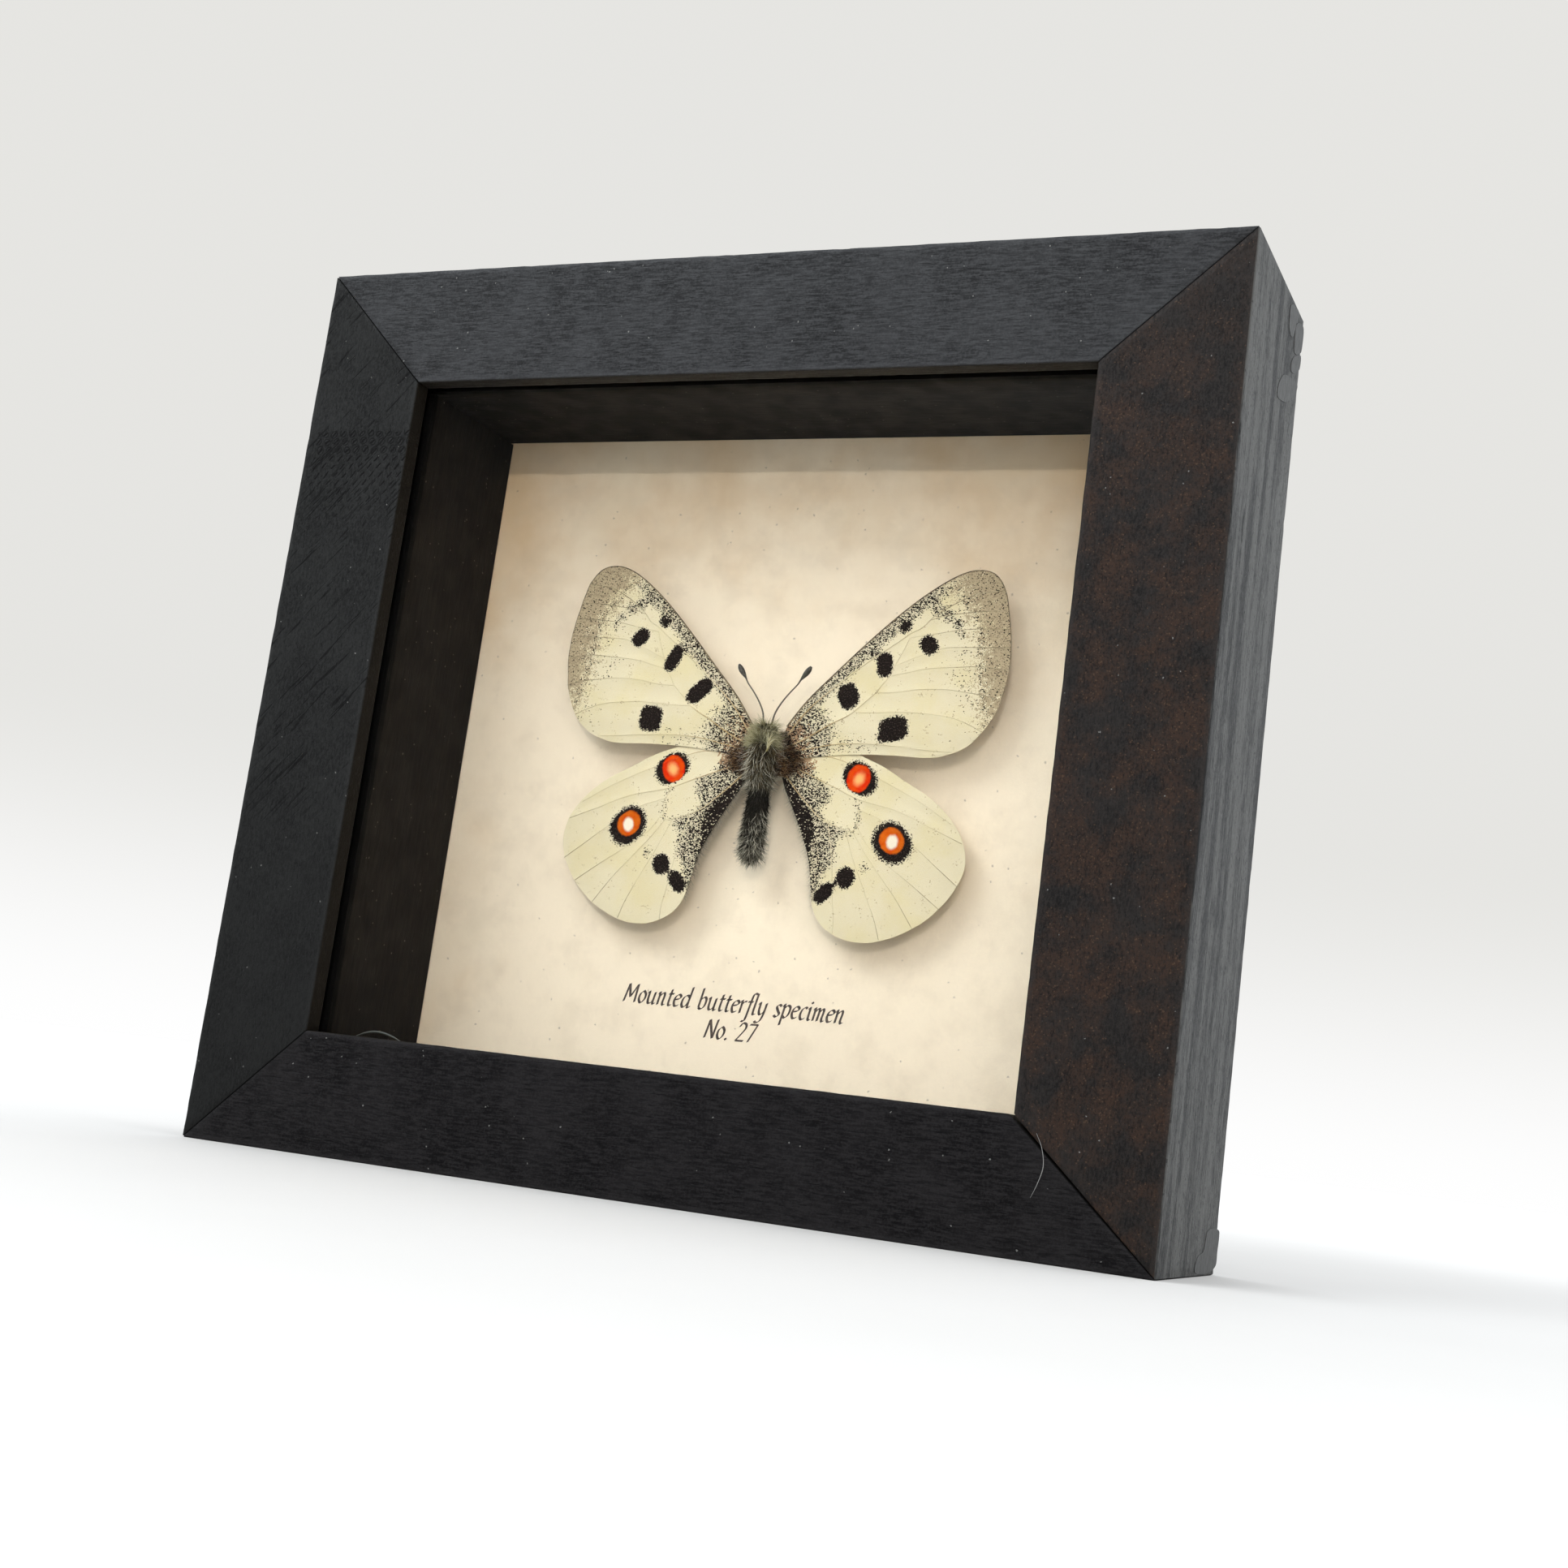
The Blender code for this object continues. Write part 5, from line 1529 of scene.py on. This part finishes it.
zinc, tree, shader = finish("zinc_plate", Metallic=1.0)
place = place_mm(tree)
spangle = use(tree, specks, Place=place, Share=0.5, Size=1.6)["Chance"]
tint(tree, shader, mixed(tree, spangle, (0.42, 0.42, 0.43), (0.62, 0.62, 0.61)))
dull = cloud(tree, place, 2.5, detail=4.0)
feed(tree, shader.inputs["Roughness"], fade(tree, dull, 0.3, 0.7, 0.28, 0.5))
relief(tree, shader, cloud(tree, vcalc(tree, "MULTIPLY", place, (0.08, 1, 1)), 0.2), 0.01)
for node in ("hanger", "hanger_nail_left", "hanger_nail_right"):
    clad(node, zinc)


# %% Build the tape
RIPPLE_DEPTH, RIPPLES, RAGGED = 0.08, 4.2, 0.25
LEVEL_NET, UPRIGHT_NET = (150, 20), (20, 110)


def tape(name):
    """A thin rippled sheet in the place of the CAD's strip."""
    low, high = (np.array(corner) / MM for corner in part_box(name))
    long_x = high[0] - low[0] > high[2] - low[2]
    columns, rows = LEVEL_NET if long_x else UPRIGHT_NET
    points = []
    for back in (False, True):
        for j in range(rows + 1):
            for i in range(columns + 1):
                x = low[0] + (high[0] - low[0]) * i / columns
                z = low[2] + (high[2] - low[2]) * j / rows
                run = x if long_x else z
                ripple = 0.5 + 0.5 * math.sin(run * RIPPLES + 3 * noise.noise(Vector((x * 0.4, 7, z * 0.4))))
                rim_x, rim_z = i in (0, columns), j in (0, rows)
                x += RAGGED * noise.noise(Vector((z * 0.5, 3, low[0]))) * rim_x * (1 if i == 0 else -1)
                z += RAGGED * noise.noise(Vector((x * 0.5, 5, low[2]))) * rim_z * (1 if j == 0 else -1)
                y = high[1] - RIPPLE_DEPTH * (1 - ripple) if back else low[1]
                points.append((min(max(x, low[0]), high[0]), y, min(max(z, low[2]), high[2])))
    width = columns + 1
    sheet = width * (rows + 1)
    faces = []
    for j in range(rows):
        for i in range(columns):
            a = j * width + i
            faces.append((a, a + 1, a + width + 1, a + width))
            faces.append((a + sheet, a + width + sheet, a + width + 1 + sheet, a + 1 + sheet))
    ring = list(range(width)) + [j * width + columns for j in range(1, rows + 1)]
    ring += [rows * width + i for i in range(columns - 1, -1, -1)]
    ring += [j * width for j in range(rows - 1, 0, -1)]
    faces += [(a, a + sheet, b + sheet, b) for a, b in zip(ring, ring[1:] + ring[:1])]
    piece = mesh_object(f"crepe_{name}", points, faces, tape_finish)
    worked(piece, face_outwards)
    piece.data.set_sharp_from_angle(angle=SHARP_EDGE)
    return piece


for side in RAIL_WIDTH:
    keep(tape(f"tape_{side}"), "black_tape", f"tape_{side}")

# %% [markdown]
# ## Laps, lint and a sliver
# A few small things have no place in the CAD. The tape at the back laps round the right flank in thin grey
# patches by the upper corner and at the lower one, where it also sticks out. A hair of lint lies on the
# lower right mitre, and a dark sliver of paint stands up behind the lower lip. The laps are flat outlines
# with a little thickness; the other two are tubes along a path.

# %% Laps on the right flank: outlines as (back from the middle of the depth, up from the surface below)
lap_finish, tree, shader = finish("lapped_tape", Roughness=0.6, IOR=1.45, Specular_IOR_Level=0.12)
place = place_mm(tree)
worn = cloud(tree, place, 0.7, detail=4.0, roughness=0.7, stretch=(1.0, 1.0, 0.4))
tint(tree, shader, mixed(tree, fade(tree, worn, 0.32, 0.68), (0.06, 0.06, 0.059), (0.1, 0.1, 0.098)))
relief(tree, shader, worn, 0.05)
FLANK = WIDTH / 2
LAPS = {
    "low": [(3.2, 1.4), (4.6, 2.9), (7.6, 3.6), (8.4, 5.2), (9.0, 6.4), (12.0, 6.9), (16.2, 6.6), (16.9, 5.6),
            (16.6, 3.4), (16.3, 1.4), (12.0, 0.5), (6.0, 0.4), (3.6, 0.7)],
    "top": [(5.6, 149.2), (5.4, 147.2), (6.0, 145.4), (8.2, 145.0), (9.6, 146.4), (10.4, 148.4),
            (11.2, 150.5), (8.4, 150.3)],
    "corner": [(10.4, 147.9), (10.3, 145.6), (10.6, 143.7), (12.6, 143.9), (14.4, 144.9), (15.8, 146.0),
               (15.9, 149.6), (13.0, 149.4)],
    "middle": [(12.9, 143.9), (10.6, 142.6), (9.6, 141.2), (9.8, 140.1), (12.0, 140.5), (14.4, 141.9),
               (15.7, 142.9), (15.7, 144.9)],
    "bulge": [(5.0, 137.4), (2.4, 134.8), (2.4, 132.9), (5.2, 133.3), (8.6, 134.4), (12.0, 136.4),
              (14.6, 138.4), (14.9, 139.9), (9.6, 138.9)],
}
LAP_FACES = (-0.02, 0.09)
for label, outline in LAPS.items():
    curve = smooth_path(outline, 5, closed=True)
    count = len(curve)
    points = [(FLANK + out, back, up) for out in LAP_FACES for back, up in curve]
    faces = [tuple(range(count)), tuple(reversed(range(count, 2 * count)))]
    faces += [(i, (i + 1) % count, (i + 1) % count + count, i + count) for i in range(count)]
    piece = mesh_object(f"tape_lap_{label}", points, faces, lap_finish, smooth=False)
    worked(piece, face_outwards)
    worked(piece, cut_big_faces)
    keep(piece, "black_tape")


# %% Lint and sliver
def fibre(name, path, girth_mm, material):
    """A thin round thread along a smooth path, finer at its ends."""
    curve = smooth_path(path, 8)
    carrier = mesh_object(name, curve, [], None, smooth=False,
                          edges=[(i, i + 1) for i in range(len(curve) - 1)])
    shares = np.sin(np.linspace(0.12, 0.88, len(curve)) * math.pi)
    paint(carrier, "girth", shares * girth_mm * MM)
    return grown(name, carrier, tubes, Girth=1.0, Sides=6, Finish=material)


lint, _, shader = finish("pale_lint", Roughness=0.8)
shader.inputs["Base Color"].default_value = (0.3, 0.3, 0.29, 1.0)
sliver, _, shader = finish("dark_sliver", Roughness=0.5)
shader.inputs["Base Color"].default_value = (0.035, 0.038, 0.03, 1.0)
FACE = depth(0) - 0.06
lint_path = [(63.8, FACE, 17.4), (64.9, FACE - 0.3, 15.4), (65.3, FACE - 0.1, 13.0),
             (64.8, FACE - 0.35, 10.6), (63.9, FACE, 8.6)]
keep(fibre("lint_hair", lint_path, 0.045, lint), "black_tape")
arch = [(-54.0, -15.4, 19.5), (-51.9, -15.5, 20.3), (-49.7, -15.6, 20.65), (-47.4, -15.5, 20.35),
        (-45.2, -15.4, 19.6)]
keep(fibre("paint_sliver", arch, 0.22, sliver), "black_stained_wood")

# %% [markdown]
# ## Floor, light and camera
# The object stands on a pale floor in soft light from everywhere but the camera's own side, which is dim,
# so the pane shows no glare. One small warm lamp stands in front and a little above: it alone makes the
# crisp grey band that the top rail casts on the card. A cooler soft light comes from the upper left.

# %% Floor and surrounding light
floor_finish, tree, shader = finish("pale_floor", Roughness=0.85)
place = place_mm(tree)
near = mixed(tree, cloud(tree, place, 40.0), (0.63, 0.61, 0.59), (0.65, 0.63, 0.61))
# Painted light: the floor's colour grows paler with distance, to meet the backdrop's tone far off.
painted_far_light = fade(tree, vcalc(tree, "LENGTH", place, output=1), 150.0, 420.0)
tint(tree, shader, mixed(tree, painted_far_light, near, (0.8, 0.78, 0.76)))
FLOOR_REACH = 4000.0
corners = [(x * FLOOR_REACH, y * FLOOR_REACH, 0) for x, y in ((-1, -1), (1, -1), (1, 1), (-1, 1))]
floor = mesh_object("floor", corners, [(0, 1, 2, 3)], floor_finish)

world = bpy.data.worlds.new("white_surround")
bpy.context.scene.world = world
world.use_nodes = True
tree = world.node_tree
background = tree.nodes["Background"]
direction = axes(tree, tree.nodes.new("ShaderNodeTexCoord").outputs["Generated"])
front = fade(tree, times(tree, direction[1], -1.0), 0.2, 0.75)
dim = times(tree, front, fade(tree, direction[2], 0.3, 0.6, 1.0, 0.0))
light = mixed(tree, dim, (1.36, 1.42, 1.47), (0.03, 0.03, 0.03))
seen = mixed(tree, fade(tree, direction[2], -0.01, 0.16), (1.0, 1.0, 1.0), (0.79, 0.785, 0.76))
camera_ray = tree.nodes.new("ShaderNodeLightPath").outputs["Is Camera Ray"]
feed(tree, background.inputs["Color"], mixed(tree, camera_ray, light, seen))


# %% Lamp and window
def area_light(name, place, aim, size, watts, colour):
    data = bpy.data.lights.new(name, "AREA")
    data.shape, data.size, data.size_y = "RECTANGLE", size[0], size[1]
    data.energy, data.color = watts, colour
    lamp = bpy.data.objects.new(name, data)
    bpy.context.scene.collection.objects.link(lamp)
    lamp.location = place
    lamp.rotation_euler = (Vector(aim) - Vector(place)).to_track_quat("-Z", "Y").to_euler()
    return lamp


MIDDLE = (0.0, 0.0, 0.075)
area_light("warm_lamp", (0.42, -1.22, 0.34), MIDDLE, (0.016, 0.016), 3.0, (1.0, 0.93, 0.87))
area_light("cool_window", (-0.42, -0.62, 0.72), MIDDLE, (0.6, 0.4), 4.5, (0.92, 0.97, 1.0))

# %% [markdown]
# The camera stands low in front of the frame, 29 degrees to its right, looks slightly up and is rolled by 7
# degrees: in the photograph the frame leans back, and a tilted camera gives the same view of an upright
# frame. The place comes from fitting the frame's corners.

# %% Camera
CAMERA_PLACE = Vector((0.15093, -0.28743, 0.0163))
CAMERA_RIGHT = Vector((0.92409, 0.36232, 0.12158))
CAMERA_UP = Vector((-0.05037, -0.19986, 0.97853))
camera_data = bpy.data.cameras.new("camera")
camera_data.sensor_width, camera_data.lens = 36.0, 46.183
camera_data.shift_x = -0.0824
camera_data.clip_start, camera_data.clip_end = 0.01, 20.0
camera = bpy.data.objects.new("camera", camera_data)
bpy.context.scene.collection.objects.link(camera)
behind = CAMERA_RIGHT.cross(CAMERA_UP).normalized()
upright = behind.cross(CAMERA_RIGHT).normalized()
camera.matrix_world = Matrix((
    (CAMERA_RIGHT.x, upright.x, behind.x, CAMERA_PLACE.x),
    (CAMERA_RIGHT.y, upright.y, behind.y, CAMERA_PLACE.y),
    (CAMERA_RIGHT.z, upright.z, behind.z, CAMERA_PLACE.z),
    (0, 0, 0, 1),
))
bpy.context.scene.camera = camera
bpy.context.scene.view_settings.view_transform = "Standard"
